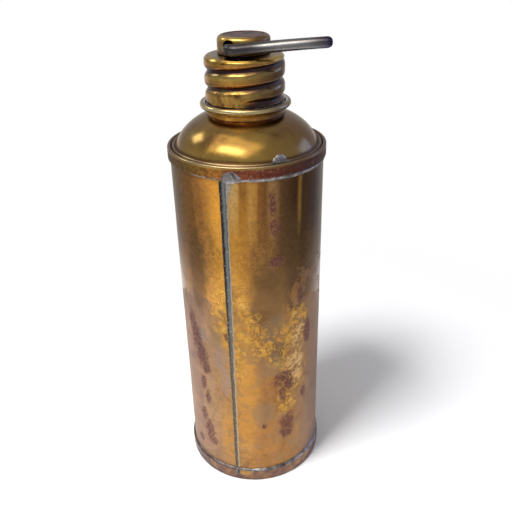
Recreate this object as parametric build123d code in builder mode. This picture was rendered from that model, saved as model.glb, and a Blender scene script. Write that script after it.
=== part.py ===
"""Soldered sheet-brass bottle with a rolled-thread screw cap and a swinging steel lever.

Frame: millimetres, +Z up, origin at the centre of the base ring, front of the bottle towards -Y.
"""

import os
from math import acos, cos, degrees, radians, sin, sqrt, tan

from build123d import *

# Sheet metal and solder
SHEET = 0.9
SOLDER_GAP = 0.35
SEAT = 0.03

# Body tube
TUBE_RADIUS = 42.0
TUBE_BOTTOM = 1.0
TUBE_TOP = 211.3
SEAM_ANGLE = -107.3
LAP_RISE = 0.5
LAP_SPREAD = 24.0

# Base pan and shoulder skirt, both slipped over the tube
SKIRT_INNER = TUBE_RADIUS + SOLDER_GAP
SKIRT_OUTER = SKIRT_INNER + SHEET
BASE_SKIRT_TOP = 7.8
BASE_RING_INNER = 37.0
BASE_DISH_RADIUS = 34.0
BASE_DISH_DEPTH = 2.4
SHOULDER_BOTTOM = 207.8
RIDGE_TOP = 214.3
RIDGE_RADIUS = 42.35
VALLEY_RADIUS = 41.1
BEAD_RADIUS = 40.3
PATCH_ANGLE = -62.5
PATCH_RISE = 4.6
PATCH_FOOT_HALF_WIDTH = 4.4
PATCH_TOP_HALF_WIDTH = 0.9

# Dome: a quarter ellipse about the axis
DOME_RADIUS = 39.5
DOME_HEIGHT = 24.9
DOME_CENTRE = 208.7
DOME_FOOT = 213.9

# Neck
NECK_RADIUS = 20.0
NECK_SHEET = 0.8
NECK_BOTTOM = 224.0
NECK_TOP = 255.3
MOUTH_RADIUS = 15.8
MOUTH_LIP = 0.9
COLLAR_FOOT = 229.95
LIP_RADIUS = 22.6
LIP_HEIGHT = 235.2
LIP_ROLL = 1.6
WIRE_RADIUS = 0.85

# Rolled knuckle thread shared by the cap and the neck
PITCH = 8.7
THREAD_CENTRE = 21.6
THREAD_HEIGHT = 239.4
CAP_THREAD = (-95.0, 740.0)
NECK_THREAD = (-118.0, 810.0)
THREAD_GAP = 0.3
CAP_GROOVE = 2.2

# Cap
CAP_RADIUS = 21.0
CAP_SHEET = 0.7
CAP_BOTTOM = 237.0
CAP_EDGE = 257.2
CAP_TOP = 260.3
CAP_ROUND = 2.8
OUTLINE_ANGLE = 133.0

# Boss, spigot and lever
BOSS_RADIUS = 13.6
BOSS_TOP = 269.3
BOSS_ROUND = 2.5
SPIGOT_RADIUS = 4.0
SPIGOT_BOTTOM = 252.4
HOLE_ANGLE = -124.0
MOUTH_HOLE_RADIUS = 3.6
MOUTH_HOLE_HEIGHT = 264.3
PIVOT_HEIGHT = 263.7
PIVOT_GAP = 0.07
ROD_RADIUS = 2.9
ROD_CLEARANCE = 0.5
ROD_BEND = 4.2
ROD_RISE = 3.5
ROD_TIP_X = 42.8
HEAD_RADIUS = 3.3
HEAD_LENGTH = 1.2

# Washer stack under the cap, from the neck's mouth up
WASHER_THICKNESS = 1.9
WASHER_RADIUS = 18.2
WASHER_HOLE = 7.5
STACK_GAP = 0.08
CARRIER_THICKNESS = 1.0
CARRIER_RADIUS = 17.6
CARRIER_HOLE = 4.3
BACKING_RADIUS = 12.0
NUT_ACROSS_FLATS = 11.0
NUT_LENGTH = 3.9


def around(radius, angle):
    """A point at a radius and an angle in degrees from +X, on the sketch plane."""
    return (radius * cos(radians(angle)), radius * sin(radians(angle)))


def ellipse_point(radius, shrink=0.0):
    """A point of the dome's profile at a distance from the axis."""
    half_width = DOME_RADIUS - shrink
    half_height = DOME_HEIGHT - shrink
    return (radius, DOME_CENTRE + half_height * sqrt(1 - (radius / half_width) ** 2))


def ellipse_turn(radius, shrink=0.0):
    """The ellipse's own angle at that point, in degrees."""
    return degrees(acos(radius / (DOME_RADIUS - shrink)))


def ring(points):
    """A ring turned from a closed outline of (radius, height) points."""
    with BuildPart() as turned:
        with BuildSketch(Plane.XZ):
            with BuildLine():
                Polyline(*points, close=True)
            make_face()
        revolve(axis=Axis.Z)
    return turned.part


def crescent(inner, outer, middle, half_angle, bottom, top):
    """An upright pad on a cylinder, thickest at its middle and thin at both edges."""
    with BuildPart() as pad:
        with BuildSketch(Plane.XY.offset(bottom)):
            with BuildLine():
                left = around(inner, middle - half_angle)
                right = around(inner, middle + half_angle)
                ThreePointArc(left, around(outer, middle), right)
                ThreePointArc(right, around(inner, middle), left)
            make_face()
        extrude(amount=top - bottom)
    return pad.part


def thread_cutter(radius, span):
    """The round-ended helical worm that forms the thread, its start turned to +X."""
    start, end = span
    turns = (end - start) / 360
    start_height = THREAD_HEIGHT + PITCH * start / 360
    with BuildPart() as worm:
        with BuildLine(Plane.XY.offset(start_height)):
            path = Helix(pitch=PITCH, height=PITCH * turns, radius=THREAD_CENTRE)
        with BuildSketch(Plane(origin=path @ 0, z_dir=path % 0)):
            Circle(radius)
        sweep(path=path, is_frenet=True)
        with Locations(path @ 0, path @ 1):
            Sphere(radius)
    return worm.part


def write(piece, name):
    """Label a finished piece and save it under its own name."""
    piece.label = name
    export_step(piece, f"parts/{name}.step")


os.makedirs("parts", exist_ok=True)

# ---------------------------------------------------------------- body tube and its side seam
with BuildPart() as body_tube:
    with BuildSketch(Plane.XY.offset(TUBE_BOTTOM)):
        Circle(TUBE_RADIUS)
        Circle(TUBE_RADIUS - SHEET, mode=Mode.SUBTRACT)
    extrude(amount=TUBE_TOP - TUBE_BOTTOM)
    lap_bottom = BASE_SKIRT_TOP + 1.3
    lap_top = SHOULDER_BOTTOM - 1.5
    with BuildSketch(Plane.XY.offset(lap_bottom)):
        with BuildLine():
            lap_root = TUBE_RADIUS - SHEET / 2
            step_foot = around(lap_root, SEAM_ANGLE)
            step_edge = around(TUBE_RADIUS + LAP_RISE, SEAM_ANGLE)
            lap_middle = around(TUBE_RADIUS + LAP_RISE / 2, SEAM_ANGLE - LAP_SPREAD / 2)
            fade_out = around(TUBE_RADIUS, SEAM_ANGLE - LAP_SPREAD)
            fade_foot = around(lap_root, SEAM_ANGLE - LAP_SPREAD)
            Line(step_foot, step_edge)
            ThreePointArc(step_edge, lap_middle, fade_out)
            Line(fade_out, fade_foot)
            ThreePointArc(fade_foot, around(lap_root, SEAM_ANGLE - LAP_SPREAD / 2), step_foot)
        make_face()
    extrude(amount=lap_top - lap_bottom)
write(body_tube.part, "body_tube")

# The fillet of solder that lies along the step of the lapped edge
with BuildPart() as side_seam_solder:
    with BuildSketch(Plane.XY.offset(lap_bottom + SEAT)):
        with BuildLine():
            fillet_root = TUBE_RADIUS + SEAT
            fillet_foot = around(fillet_root, SEAM_ANGLE + 0.05)
            fillet_edge = around(TUBE_RADIUS + LAP_RISE + 0.3, SEAM_ANGLE + 0.05)
            fillet_toe = around(fillet_root, SEAM_ANGLE + 4.1)
            Line(fillet_foot, fillet_edge)
            ThreePointArc(fillet_edge, around(TUBE_RADIUS + 0.6, SEAM_ANGLE + 2.2), fillet_toe)
            ThreePointArc(fillet_toe, around(fillet_root, SEAM_ANGLE + 2.0), fillet_foot)
        make_face()
    extrude(amount=lap_top - lap_bottom - 2 * SEAT)
write(side_seam_solder.part, "side_seam_solder")

# ---------------------------------------------------------------- base
with BuildPart() as base_pan:
    with BuildSketch(Plane.XZ):
        with BuildLine():
            Polyline(
                (SKIRT_INNER, BASE_SKIRT_TOP),
                (SKIRT_OUTER, BASE_SKIRT_TOP),
                (SKIRT_OUTER, 0),
                (BASE_RING_INNER, 0),
                (BASE_DISH_RADIUS, BASE_DISH_DEPTH),
                (0, BASE_DISH_DEPTH),
                (0, BASE_DISH_DEPTH + SHEET),
                (BASE_DISH_RADIUS + SHEET / 2, BASE_DISH_DEPTH + SHEET),
                (BASE_RING_INNER + SHEET / 2, SHEET),
                (SKIRT_INNER, SHEET),
                close=True,
            )
        base_face = make_face()
        fillet(base_face.vertices().sort_by_distance((SKIRT_OUTER, 0, 0))[0], radius=0.8)
    revolve(axis=Axis.Z)
write(base_pan.part, "base_pan")

write(
    ring([
        (TUBE_RADIUS + SEAT, TUBE_BOTTOM + 0.5),
        (SKIRT_INNER - SEAT, TUBE_BOTTOM + 0.5),
        (SKIRT_INNER - SEAT, BASE_SKIRT_TOP + SEAT),
        (SKIRT_OUTER - 0.1, BASE_SKIRT_TOP + SEAT),
        (SKIRT_OUTER - 0.5, BASE_SKIRT_TOP + 0.7),
        (TUBE_RADIUS + SEAT, BASE_SKIRT_TOP + 1.2),
    ]),
    "base_solder_ring",
)

write(
    crescent(SKIRT_OUTER + SEAT, SKIRT_OUTER + 0.5, SEAM_ANGLE + 1.6, 2.6, 4.6, BASE_SKIRT_TOP),
    "seam_foot_solder",
)

# ---------------------------------------------------------------- shoulder
neck_hole = NECK_RADIUS + SOLDER_GAP
foot_outer = DOME_RADIUS * sqrt(1 - ((DOME_FOOT - DOME_CENTRE) / DOME_HEIGHT) ** 2)
foot_inner = foot_outer - SHEET - 0.2

with BuildPart() as shoulder:
    with BuildSketch(Plane.XZ):
        with BuildLine():
            Polyline(
                (SKIRT_INNER, SHOULDER_BOTTOM),
                (SKIRT_OUTER, SHOULDER_BOTTOM),
                (SKIRT_OUTER, RIDGE_TOP - 1.3),
            )
            ridge_start = (SKIRT_OUTER, RIDGE_TOP - 1.3)
            valley = (VALLEY_RADIUS, DOME_FOOT - 0.5)
            ThreePointArc(ridge_start, (RIDGE_RADIUS, RIDGE_TOP), valley)
            dome_outer = EllipticalCenterArc(
                (0, DOME_CENTRE),
                DOME_RADIUS,
                DOME_HEIGHT,
                start_angle=ellipse_turn(foot_outer),
                arc_size=ellipse_turn(neck_hole) - ellipse_turn(foot_outer),
            )
            dome_inner = EllipticalCenterArc(
                (0, DOME_CENTRE),
                DOME_RADIUS - SHEET,
                DOME_HEIGHT - SHEET,
                start_angle=ellipse_turn(foot_inner, SHEET),
                arc_size=ellipse_turn(neck_hole, SHEET) - ellipse_turn(foot_inner, SHEET),
            )
            Polyline(valley, (BEAD_RADIUS, DOME_FOOT + 0.6), dome_outer @ 0)
            Line(dome_outer @ 1, dome_inner @ 1)
            Polyline(
                dome_inner @ 0,
                (foot_outer - 0.6, DOME_FOOT - 1.4),
                (SKIRT_INNER - 0.9, DOME_FOOT - 1.4),
                (SKIRT_INNER, RIDGE_TOP - 2.4),
                (SKIRT_INNER, SHOULDER_BOTTOM),
            )
        make_face()
    revolve(axis=Axis.Z)
write(shoulder.part, "shoulder")

write(
    ring([
        (TUBE_RADIUS + SEAT, TUBE_TOP - 0.3),
        (SKIRT_INNER - SEAT, TUBE_TOP - 0.3),
        (SKIRT_INNER - SEAT, SHOULDER_BOTTOM - SEAT),
        (SKIRT_OUTER - 0.05, SHOULDER_BOTTOM - SEAT),
        (SKIRT_OUTER - 0.35, SHOULDER_BOTTOM - 0.8),
        (TUBE_RADIUS + SEAT, SHOULDER_BOTTOM - 1.4),
    ]),
    "shoulder_solder_ring",
)

write(
    crescent(SKIRT_OUTER + SEAT, SKIRT_OUTER + 0.9, SEAM_ANGLE + 5.4, 4.6, SHOULDER_BOTTOM, RIDGE_TOP - 1.4),
    "seam_top_solder",
)

# A drop of solder run into the valley at the foot of the dome
with BuildPart() as shoulder_solder_patch:
    with BuildSketch(Plane.XZ):
        with BuildLine():
            Polyline(
                (foot_outer + 0.25, DOME_FOOT + 0.35),
                (BEAD_RADIUS, DOME_FOOT + 0.8),
                (VALLEY_RADIUS + 0.1, DOME_FOOT + 0.15),
                (VALLEY_RADIUS + 0.4, DOME_FOOT + 0.6),
                (BEAD_RADIUS + 0.1, DOME_FOOT + 1.5),
                (foot_outer - 0.33, DOME_FOOT + PATCH_RISE),
                (foot_outer - 1.13, DOME_FOOT + PATCH_RISE),
                close=True,
            )
        make_face()
    revolve(axis=Axis.Z)
    outwards = (*around(1, PATCH_ANGLE), 0)
    patch_plane = Plane(origin=(0, 0, SHOULDER_BOTTOM), x_dir=outwards, z_dir=(0, 0, 1))
    with BuildSketch(patch_plane):
        with BuildLine():
            patch_inner = foot_outer - 2.1
            patch_outer = VALLEY_RADIUS + 1.4
            Polyline(
                (patch_inner, PATCH_TOP_HALF_WIDTH),
                (patch_inner, -PATCH_TOP_HALF_WIDTH),
                (patch_outer, -PATCH_FOOT_HALF_WIDTH),
                (patch_outer, PATCH_FOOT_HALF_WIDTH),
                close=True,
            )
        make_face()
    extrude(amount=DOME_HEIGHT, mode=Mode.INTERSECT)
write(shoulder_solder_patch.part, "shoulder_solder_patch")

# ---------------------------------------------------------------- collar with its wired lip
collar_inner = NECK_RADIUS + SEAT
with BuildPart() as neck_collar:
    with BuildSketch(Plane.XZ):
        with BuildLine():
            Polyline(
                (collar_inner, COLLAR_FOOT + 0.25),
                (collar_inner + 0.8, COLLAR_FOOT),
                (LIP_RADIUS - 0.9, LIP_HEIGHT - 1.1),
                (LIP_RADIUS - 1.1, LIP_HEIGHT + 0.9),
                (collar_inner + 0.9, LIP_HEIGHT - 1.5),
                (collar_inner, COLLAR_FOOT + 2.4),
                close=True,
            )
        make_face()
        with Locations((LIP_RADIUS, LIP_HEIGHT)):
            Circle(LIP_ROLL)
            Circle(WIRE_RADIUS + SEAT, mode=Mode.SUBTRACT)
    revolve(axis=Axis.Z)
write(neck_collar.part, "neck_collar")

with BuildPart() as lip_wire:
    with Locations((0, 0, LIP_HEIGHT)):
        Torus(LIP_RADIUS, WIRE_RADIUS)
write(lip_wire.part, "lip_wire")

collar_toe = collar_inner + 0.85
write(
    ring([
        (collar_toe, COLLAR_FOOT + 0.1),
        ellipse_point(collar_toe, -0.06),
        ellipse_point(collar_toe + 0.7, -0.06),
        (collar_toe + 0.15, COLLAR_FOOT + 0.5),
    ]),
    "collar_solder_ring",
)

write(
    ring([
        (collar_inner, LIP_HEIGHT - 2.6),
        (collar_inner + 0.8, LIP_HEIGHT - 1.4),
        (LIP_RADIUS - LIP_ROLL + 0.05, LIP_HEIGHT + 0.75),
        (LIP_RADIUS - LIP_ROLL + 0.05, LIP_HEIGHT + 1.2),
        (collar_inner, LIP_HEIGHT + 1.45),
    ]),
    "lip_solder_ring",
)

# ---------------------------------------------------------------- threaded neck sleeve
neck_groove = CAP_GROOVE + CAP_SHEET + THREAD_GAP
neck_outer_cutter = thread_cutter(neck_groove, NECK_THREAD)
neck_inner_cutter = thread_cutter(neck_groove + NECK_SHEET, NECK_THREAD)
with BuildPart() as neck_bore:
    with BuildSketch(Plane.XY.offset(NECK_BOTTOM)):
        Circle(NECK_RADIUS - NECK_SHEET)
    extrude(amount=NECK_TOP - MOUTH_LIP - NECK_BOTTOM)
    add(neck_inner_cutter, mode=Mode.SUBTRACT)
    with BuildSketch(Plane.XY.offset(NECK_BOTTOM)):
        Circle(MOUTH_RADIUS)
    extrude(amount=NECK_TOP - NECK_BOTTOM)
with BuildPart() as neck_sleeve:
    with BuildSketch(Plane.XY.offset(NECK_BOTTOM)):
        Circle(NECK_RADIUS)
    extrude(amount=NECK_TOP - NECK_BOTTOM)
    add(neck_outer_cutter, mode=Mode.SUBTRACT)
    add(neck_bore.part, mode=Mode.SUBTRACT)
write(neck_sleeve.part.rotate(Axis.Z, NECK_THREAD[0]), "neck_sleeve")

write(
    ring([
        (NECK_RADIUS + SEAT, NECK_BOTTOM + 2.2),
        (NECK_RADIUS + 2.2, ellipse_point(NECK_RADIUS + 2.2, SHEET)[1] - 0.1),
        (NECK_RADIUS + SEAT, ellipse_point(NECK_RADIUS + SEAT, SHEET)[1] - 0.1),
    ]),
    "neck_solder_ring",
)

# ---------------------------------------------------------------- washers under the cap
washer_bottom = NECK_TOP + STACK_GAP
carrier_bottom = washer_bottom + WASHER_THICKNESS + SEAT
nut_top = carrier_bottom - STACK_GAP
backing_bottom = carrier_bottom + CARRIER_THICKNESS + STACK_GAP
cap_ceiling = CAP_TOP - 1.1

with BuildPart() as sealing_washer:
    with BuildSketch(Plane.XY.offset(washer_bottom)):
        Circle(WASHER_RADIUS)
        Circle(WASHER_HOLE, mode=Mode.SUBTRACT)
    extrude(amount=WASHER_THICKNESS)
write(sealing_washer.part, "sealing_washer")

with BuildPart() as washer_carrier:
    with BuildSketch(Plane.XY.offset(carrier_bottom)):
        Circle(CARRIER_RADIUS)
        Circle(CARRIER_HOLE, mode=Mode.SUBTRACT)
    extrude(amount=CARRIER_THICKNESS)
write(washer_carrier.part, "washer_carrier")

with BuildPart() as backing_washer:
    with BuildSketch(Plane.XY.offset(backing_bottom)):
        Circle(BACKING_RADIUS)
        Circle(SPIGOT_RADIUS + SEAT, mode=Mode.SUBTRACT)
    extrude(amount=cap_ceiling - SEAT - backing_bottom)
write(backing_washer.part, "backing_washer")

with BuildPart() as spigot_nut:
    with BuildSketch(Plane.XY.offset(nut_top - NUT_LENGTH)):
        RegularPolygon(NUT_ACROSS_FLATS / 2, 6, major_radius=False)
        Circle(SPIGOT_RADIUS + SEAT, mode=Mode.SUBTRACT)
    extrude(amount=NUT_LENGTH)
write(spigot_nut.part, "spigot_nut")

# ---------------------------------------------------------------- rolled cap
outline_plane = Plane(
    origin=(0, 0, 0),
    x_dir=(*around(1, OUTLINE_ANGLE), 0),
    z_dir=(*around(1, OUTLINE_ANGLE - 90), 0),
)
with BuildPart() as cap_hollow:
    with BuildSketch(outline_plane):
        with BuildLine():
            hollow_radius = CAP_RADIUS - CAP_SHEET
            hollow_round = CAP_ROUND - CAP_SHEET
            Polyline(
                (0, CAP_BOTTOM),
                (hollow_radius, CAP_BOTTOM),
                (hollow_radius, cap_ceiling - hollow_round),
            )
            RadiusArc(
                (hollow_radius, cap_ceiling - hollow_round),
                (hollow_radius - hollow_round, cap_ceiling),
                -hollow_round,
            )
            Polyline((hollow_radius - hollow_round, cap_ceiling), (0, cap_ceiling), (0, CAP_BOTTOM))
        make_face()
    revolve(axis=Axis.Z)
    add(thread_cutter(CAP_GROOVE + CAP_SHEET, CAP_THREAD), mode=Mode.SUBTRACT)

with BuildPart() as stopper_shell:
    with BuildSketch(outline_plane):
        with BuildLine():
            rim_radius = CAP_RADIUS - CAP_ROUND
            rim_height = CAP_EDGE + CAP_ROUND
            Polyline(
                (SPIGOT_RADIUS + SEAT, CAP_BOTTOM),
                (CAP_RADIUS, CAP_BOTTOM),
                (CAP_RADIUS, CAP_EDGE),
            )
            RadiusArc((CAP_RADIUS, CAP_EDGE), (rim_radius, rim_height), -CAP_ROUND)
            Polyline(
                (rim_radius, rim_height),
                (BOSS_RADIUS, CAP_TOP),
                (SPIGOT_RADIUS + SEAT, CAP_TOP),
                (SPIGOT_RADIUS + SEAT, CAP_BOTTOM),
            )
        make_face()
    revolve(axis=Axis.Z)
    add(thread_cutter(CAP_GROOVE, CAP_THREAD), mode=Mode.SUBTRACT)
    add(cap_hollow.part, mode=Mode.SUBTRACT)
write(stopper_shell.part.rotate(Axis.Z, CAP_THREAD[0]), "stopper_shell")

# ---------------------------------------------------------------- boss with its cross hole
hole_direction = Vector(*around(1, HOLE_ANGLE), 0)
boss_bottom = CAP_TOP + SEAT
with BuildPart() as stopper_boss:
    with BuildSketch(Plane.XY.offset(boss_bottom)):
        Circle(BOSS_RADIUS)
    extrude(amount=BOSS_TOP - boss_bottom)
    fillet(stopper_boss.edges().group_by(Axis.Z)[-1], radius=BOSS_ROUND)
    with BuildSketch(Plane.XY.offset(BOSS_TOP)):
        Circle(BOSS_RADIUS - BOSS_ROUND - 0.9)
    extrude(amount=-0.3, mode=Mode.SUBTRACT)
    with BuildSketch(Plane.XY.offset(SPIGOT_BOTTOM)):
        Circle(SPIGOT_RADIUS)
    extrude(amount=boss_bottom - SPIGOT_BOTTOM + 0.5)
    with BuildSketch(Plane(origin=(0, 0, MOUTH_HOLE_HEIGHT), z_dir=hole_direction)):
        Circle(MOUTH_HOLE_RADIUS)
    extrude(amount=BOSS_RADIUS + 1, mode=Mode.SUBTRACT)
    with BuildSketch(Plane(origin=(0, 0, PIVOT_HEIGHT), z_dir=-hole_direction)):
        Circle(ROD_RADIUS + PIVOT_GAP)
    extrude(amount=BOSS_RADIUS + 1, mode=Mode.SUBTRACT)
write(stopper_boss.part, "stopper_boss")

# ---------------------------------------------------------------- lever bent from round rod
pivot = Vector(0, 0, PIVOT_HEIGHT)
arm_direction = Vector(cos(radians(ROD_RISE)), 0, sin(radians(ROD_RISE)))
arm_offset = BOSS_RADIUS + ROD_RADIUS + ROD_CLEARANCE
corner = pivot + hole_direction * (arm_offset / abs(hole_direction.Y))
tip_centre_x = ROD_TIP_X - ROD_RADIUS
tip_centre = corner + arm_direction * ((tip_centre_x - corner.X) / arm_direction.X)
tail = pivot - hole_direction * (BOSS_RADIUS + 0.1)

with BuildPart() as lever_rod:
    with BuildLine():
        rod_path = FilletPolyline(tail, corner, tip_centre, radius=ROD_BEND)
    with BuildSketch(Plane(origin=tail, z_dir=hole_direction)):
        Circle(ROD_RADIUS)
    sweep(path=rod_path)
    with Locations(tip_centre):
        Sphere(ROD_RADIUS)
    with BuildSketch(Plane(origin=tail, z_dir=-hole_direction)):
        Circle(HEAD_RADIUS)
    extrude(amount=HEAD_LENGTH)
write(lever_rod.part, "lever_rod")

bend_angle = degrees(acos(hole_direction.dot(arm_direction)))
straight_used = ROD_BEND * tan(radians(bend_angle) / 2)
print(f"lever turns {bend_angle:.1f} degrees, and its bend takes {straight_used:.1f} mm of each leg")
cap_turns = (CAP_THREAD[1] - CAP_THREAD[0]) / 360
print(f"cap travel per turn {PITCH} mm, thread engaged over {cap_turns:.2f} turns")
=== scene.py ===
"""Looks for the soldered brass bottle: worn sheet metal, lumpy solder, a rolled cap and its steel lever.

Lengths here are millimetres in the row frame and become metres where a mesh is made. Angles are degrees
counter-clockwise from +X, with the front of the bottle at -90.
"""

import math

import bmesh
import bpy
import numpy as np
from mathutils import Matrix, Vector


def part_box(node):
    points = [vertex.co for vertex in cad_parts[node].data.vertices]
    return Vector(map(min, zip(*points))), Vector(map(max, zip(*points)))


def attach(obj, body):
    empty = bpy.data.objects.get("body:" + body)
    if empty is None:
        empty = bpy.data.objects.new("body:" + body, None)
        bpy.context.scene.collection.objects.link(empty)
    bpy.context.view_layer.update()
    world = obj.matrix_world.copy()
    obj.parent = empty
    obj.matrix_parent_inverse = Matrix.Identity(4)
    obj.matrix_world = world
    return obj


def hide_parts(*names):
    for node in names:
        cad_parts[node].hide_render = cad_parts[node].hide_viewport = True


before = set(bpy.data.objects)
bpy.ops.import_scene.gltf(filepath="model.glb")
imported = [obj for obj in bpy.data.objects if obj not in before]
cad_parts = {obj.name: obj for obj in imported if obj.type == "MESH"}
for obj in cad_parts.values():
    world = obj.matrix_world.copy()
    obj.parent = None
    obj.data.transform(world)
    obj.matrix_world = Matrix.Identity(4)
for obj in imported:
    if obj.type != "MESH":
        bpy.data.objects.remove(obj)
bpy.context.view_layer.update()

MM = 0.001


# ---------------------------------------------------------------- sizes taken from the frame
def reach(node):
    """Widest radius, lowest point and highest point of a CAD node."""
    low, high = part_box(node)
    return high.x / MM, low.z / MM, high.z / MM


TUBE_RADIUS, TUBE_BOTTOM, TUBE_TOP = reach("body_tube")
SKIRT_OUTER, BASE, BASE_SKIRT_TOP = reach("base_pan")
_, SHOULDER_BOTTOM, _ = reach("shoulder")
CAP_RADIUS, CAP_BOTTOM, CAP_TOP = reach("stopper_shell")
BOSS_RADIUS, SPIGOT_BOTTOM, BOSS_TOP = reach("stopper_boss")
COLLAR_RADIUS, COLLAR_FOOT, COLLAR_TOP = reach("neck_collar")
_, LAP_BOTTOM, LAP_TOP = reach("side_seam_solder")
ROD_TIP, _, _ = reach("lever_rod")

SHEET = 0.9
SKIRT_INNER = SKIRT_OUTER - SHEET
RIDGE_TOP = SHOULDER_BOTTOM + 6.5

# Lapped side seam: its edge leans a little from the top of the tube to the bottom
SEAM_AT_TOP = -106.7
SEAM_AT_BOTTOM = -108.4
LAP_RISE = 0.5
LAP_SPREAD = 24.0
SEAM_LEFT_AT_TOP = -110.0
SEAM_LEFT_AT_BOTTOM = -108.6
SEAM_RIGHT_AT_TOP = -104.3
SEAM_RIGHT_AT_BOTTOM = -104.8

# Dome: a quarter ellipse about the axis
DOME_RADIUS = 39.5
DOME_HEIGHT = 24.9
DOME_CENTRE = SHOULDER_BOTTOM + 0.9
DOME_FOOT = DOME_CENTRE + 5.2
NECK_RADIUS = 20.0

# Rolled thread of the cap
PITCH = 8.7
THREAD_HEIGHT = CAP_BOTTOM + 2.4
THREAD_START = -108.0
THREAD_END = 740.0
THREAD_FADE = 46.0
GROOVE_DEPTH = 1.6
GROOVE_WIDTH = 1.6
CAP_SHEET = 0.7
CAP_ROUND = 2.8

# Boss and lever
BOSS_FOOT = CAP_TOP + 0.03
BOSS_ROUND = 2.5
SPIGOT_RADIUS = 4.0
HOLE_ANGLE = -124.0
MOUTH_RADIUS = 3.6
MOUTH_HEIGHT = BOSS_TOP - 5.0
BORE_RADIUS = 2.97
ROD_RADIUS = 2.9
PIVOT_HEIGHT = BOSS_TOP - 5.6
ROD_OFFSET = BOSS_RADIUS + ROD_RADIUS + 0.5
ROD_BEND = 4.2
ROD_RISE = 3.5
ROD_BOW = 0.25
HEAD_RADIUS = 3.3


# ---------------------------------------------------------------- outlines and unevenness
def arc(centre, radius, start, end, steps=10):
    """Points on an arc, from one angle to another, as (radius, height)."""
    turn = np.radians(np.linspace(start, end, steps + 1))
    return np.column_stack([centre[0] + radius * np.cos(turn), centre[1] + radius * np.sin(turn)])


def curve(points, steps=8):
    """A smooth line through a few points."""
    points = np.array(points, float)
    ends = np.vstack([2 * points[0] - points[1], points, 2 * points[-1] - points[-2]])
    made = []
    for before, start, end, after in zip(ends[:-3], ends[1:-2], ends[2:-1], ends[3:]):
        for t in np.linspace(0, 1, steps, endpoint=False):
            made.append(
                0.5 * (
                    2 * start
                    + (end - before) * t
                    + (2 * before - 5 * start + 4 * end - after) * t**2
                    + (3 * start - before - 3 * end + after) * t**3
                )
            )
    return np.vstack([made, points[-1]])


def line(start, end, spacing):
    """Evenly spaced points from start to end."""
    start, end = np.array(start, float), np.array(end, float)
    steps = max(1, round(float(np.linalg.norm(end - start)) / spacing))
    return start + (end - start) * np.linspace(0, 1, steps + 1)[:, None]


def joined(*stretches):
    """One outline from several stretches, without the points that repeat."""
    points = np.vstack([np.atleast_2d(np.array(s, float)) for s in stretches])
    gaps = np.linalg.norm(np.diff(points, axis=0), axis=1)
    return points[np.concatenate([[True], gaps > 1e-6])]


def smoothstep(value):
    """0 below 0, 1 above 1 and smooth between."""
    value = np.clip(value, 0, 1)
    return value * value * (3 - 2 * value)


def along_seam(height, at_bottom, at_top):
    """A value that changes evenly up the seam."""
    return (height - LAP_BOTTOM) * ((at_top - at_bottom) / (LAP_TOP - LAP_BOTTOM)) + at_bottom


def around_axis(radius, angle, height):
    """Points at a radius, an angle in degrees and a height."""
    turn = np.radians(angle)
    return np.stack([radius * np.cos(turn), radius * np.sin(turn), height], axis=-1)


def ripple(angle, height, seed, around, along, waves=7):
    """Seeded unevenness from -1 to 1: whole waves round the axis and up to `along` waves a metre."""
    chance = np.random.default_rng(seed)
    total = np.zeros(np.broadcast(angle, height).shape)
    for _ in range(waves):
        turns = chance.integers(1, around + 1)
        climb = chance.uniform(-along, along) * MM * 2 * math.pi
        total = total + np.cos(turns * np.radians(angle) + climb * height + chance.uniform(0, 2 * math.pi))
    return total / waves


# ---------------------------------------------------------------- meshes
def make_mesh(name, points, faces, sharp=38.0):
    """A smooth-shaded closed piece with its normals outwards."""
    mesh = bpy.data.meshes.new(name)
    mesh.from_pydata((np.array(points) * MM).tolist(), [], [list(map(int, face)) for face in faces])
    work = bmesh.new()
    work.from_mesh(mesh)
    bmesh.ops.recalc_face_normals(work, faces=work.faces)
    work.to_mesh(mesh)
    work.free()
    mesh.polygons.foreach_set("use_smooth", [True] * len(mesh.polygons))
    mesh.set_sharp_from_angle(angle=math.radians(sharp))
    piece = bpy.data.objects.new(name, mesh)
    bpy.context.scene.collection.objects.link(piece)
    return piece


def quads(rows, columns, wrap_rows, wrap_columns, start=0):
    """Faces of a grid of numbered points."""
    row = np.arange(rows if wrap_rows else rows - 1)
    column = np.arange(columns if wrap_columns else columns - 1)
    row, column = np.meshgrid(row, column, indexing="ij")
    next_row, next_column = (row + 1) % rows, (column + 1) % columns
    corners = [(row, column), (row, next_column), (next_row, next_column), (next_row, column)]
    return start + np.stack([(r * columns + c).ravel() for r, c in corners], axis=1)


def turned(name, outline, shape=None, columns=288, angles=None, solid=False):
    """A piece turned from a (radius, height) outline. A solid one's outline starts and ends on the axis."""
    angles = np.linspace(-180, 180, columns, endpoint=False) if angles is None else angles
    columns = len(angles)
    rows = outline[1:-1] if solid else outline
    angle, radius = np.meshgrid(angles, rows[:, 0])
    height = np.repeat(rows[:, 1][:, None], columns, axis=1)
    if shape:
        angle, radius, height = shape(angle, radius, height)
    points = around_axis(radius, angle, height).reshape(-1, 3)
    faces = quads(len(rows), columns, not solid, True).tolist()
    if solid:
        points = np.vstack([points, [0, 0, outline[0][1]], [0, 0, outline[-1][1]]])
        first, last = len(points) - 2, len(points) - 1
        final_row = (len(rows) - 1) * columns
        for c in range(columns):
            follow = (c + 1) % columns
            faces.append([first, follow, c])
            faces.append([last, final_row + c, final_row + follow])
    return make_mesh(name, points, faces)


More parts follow.
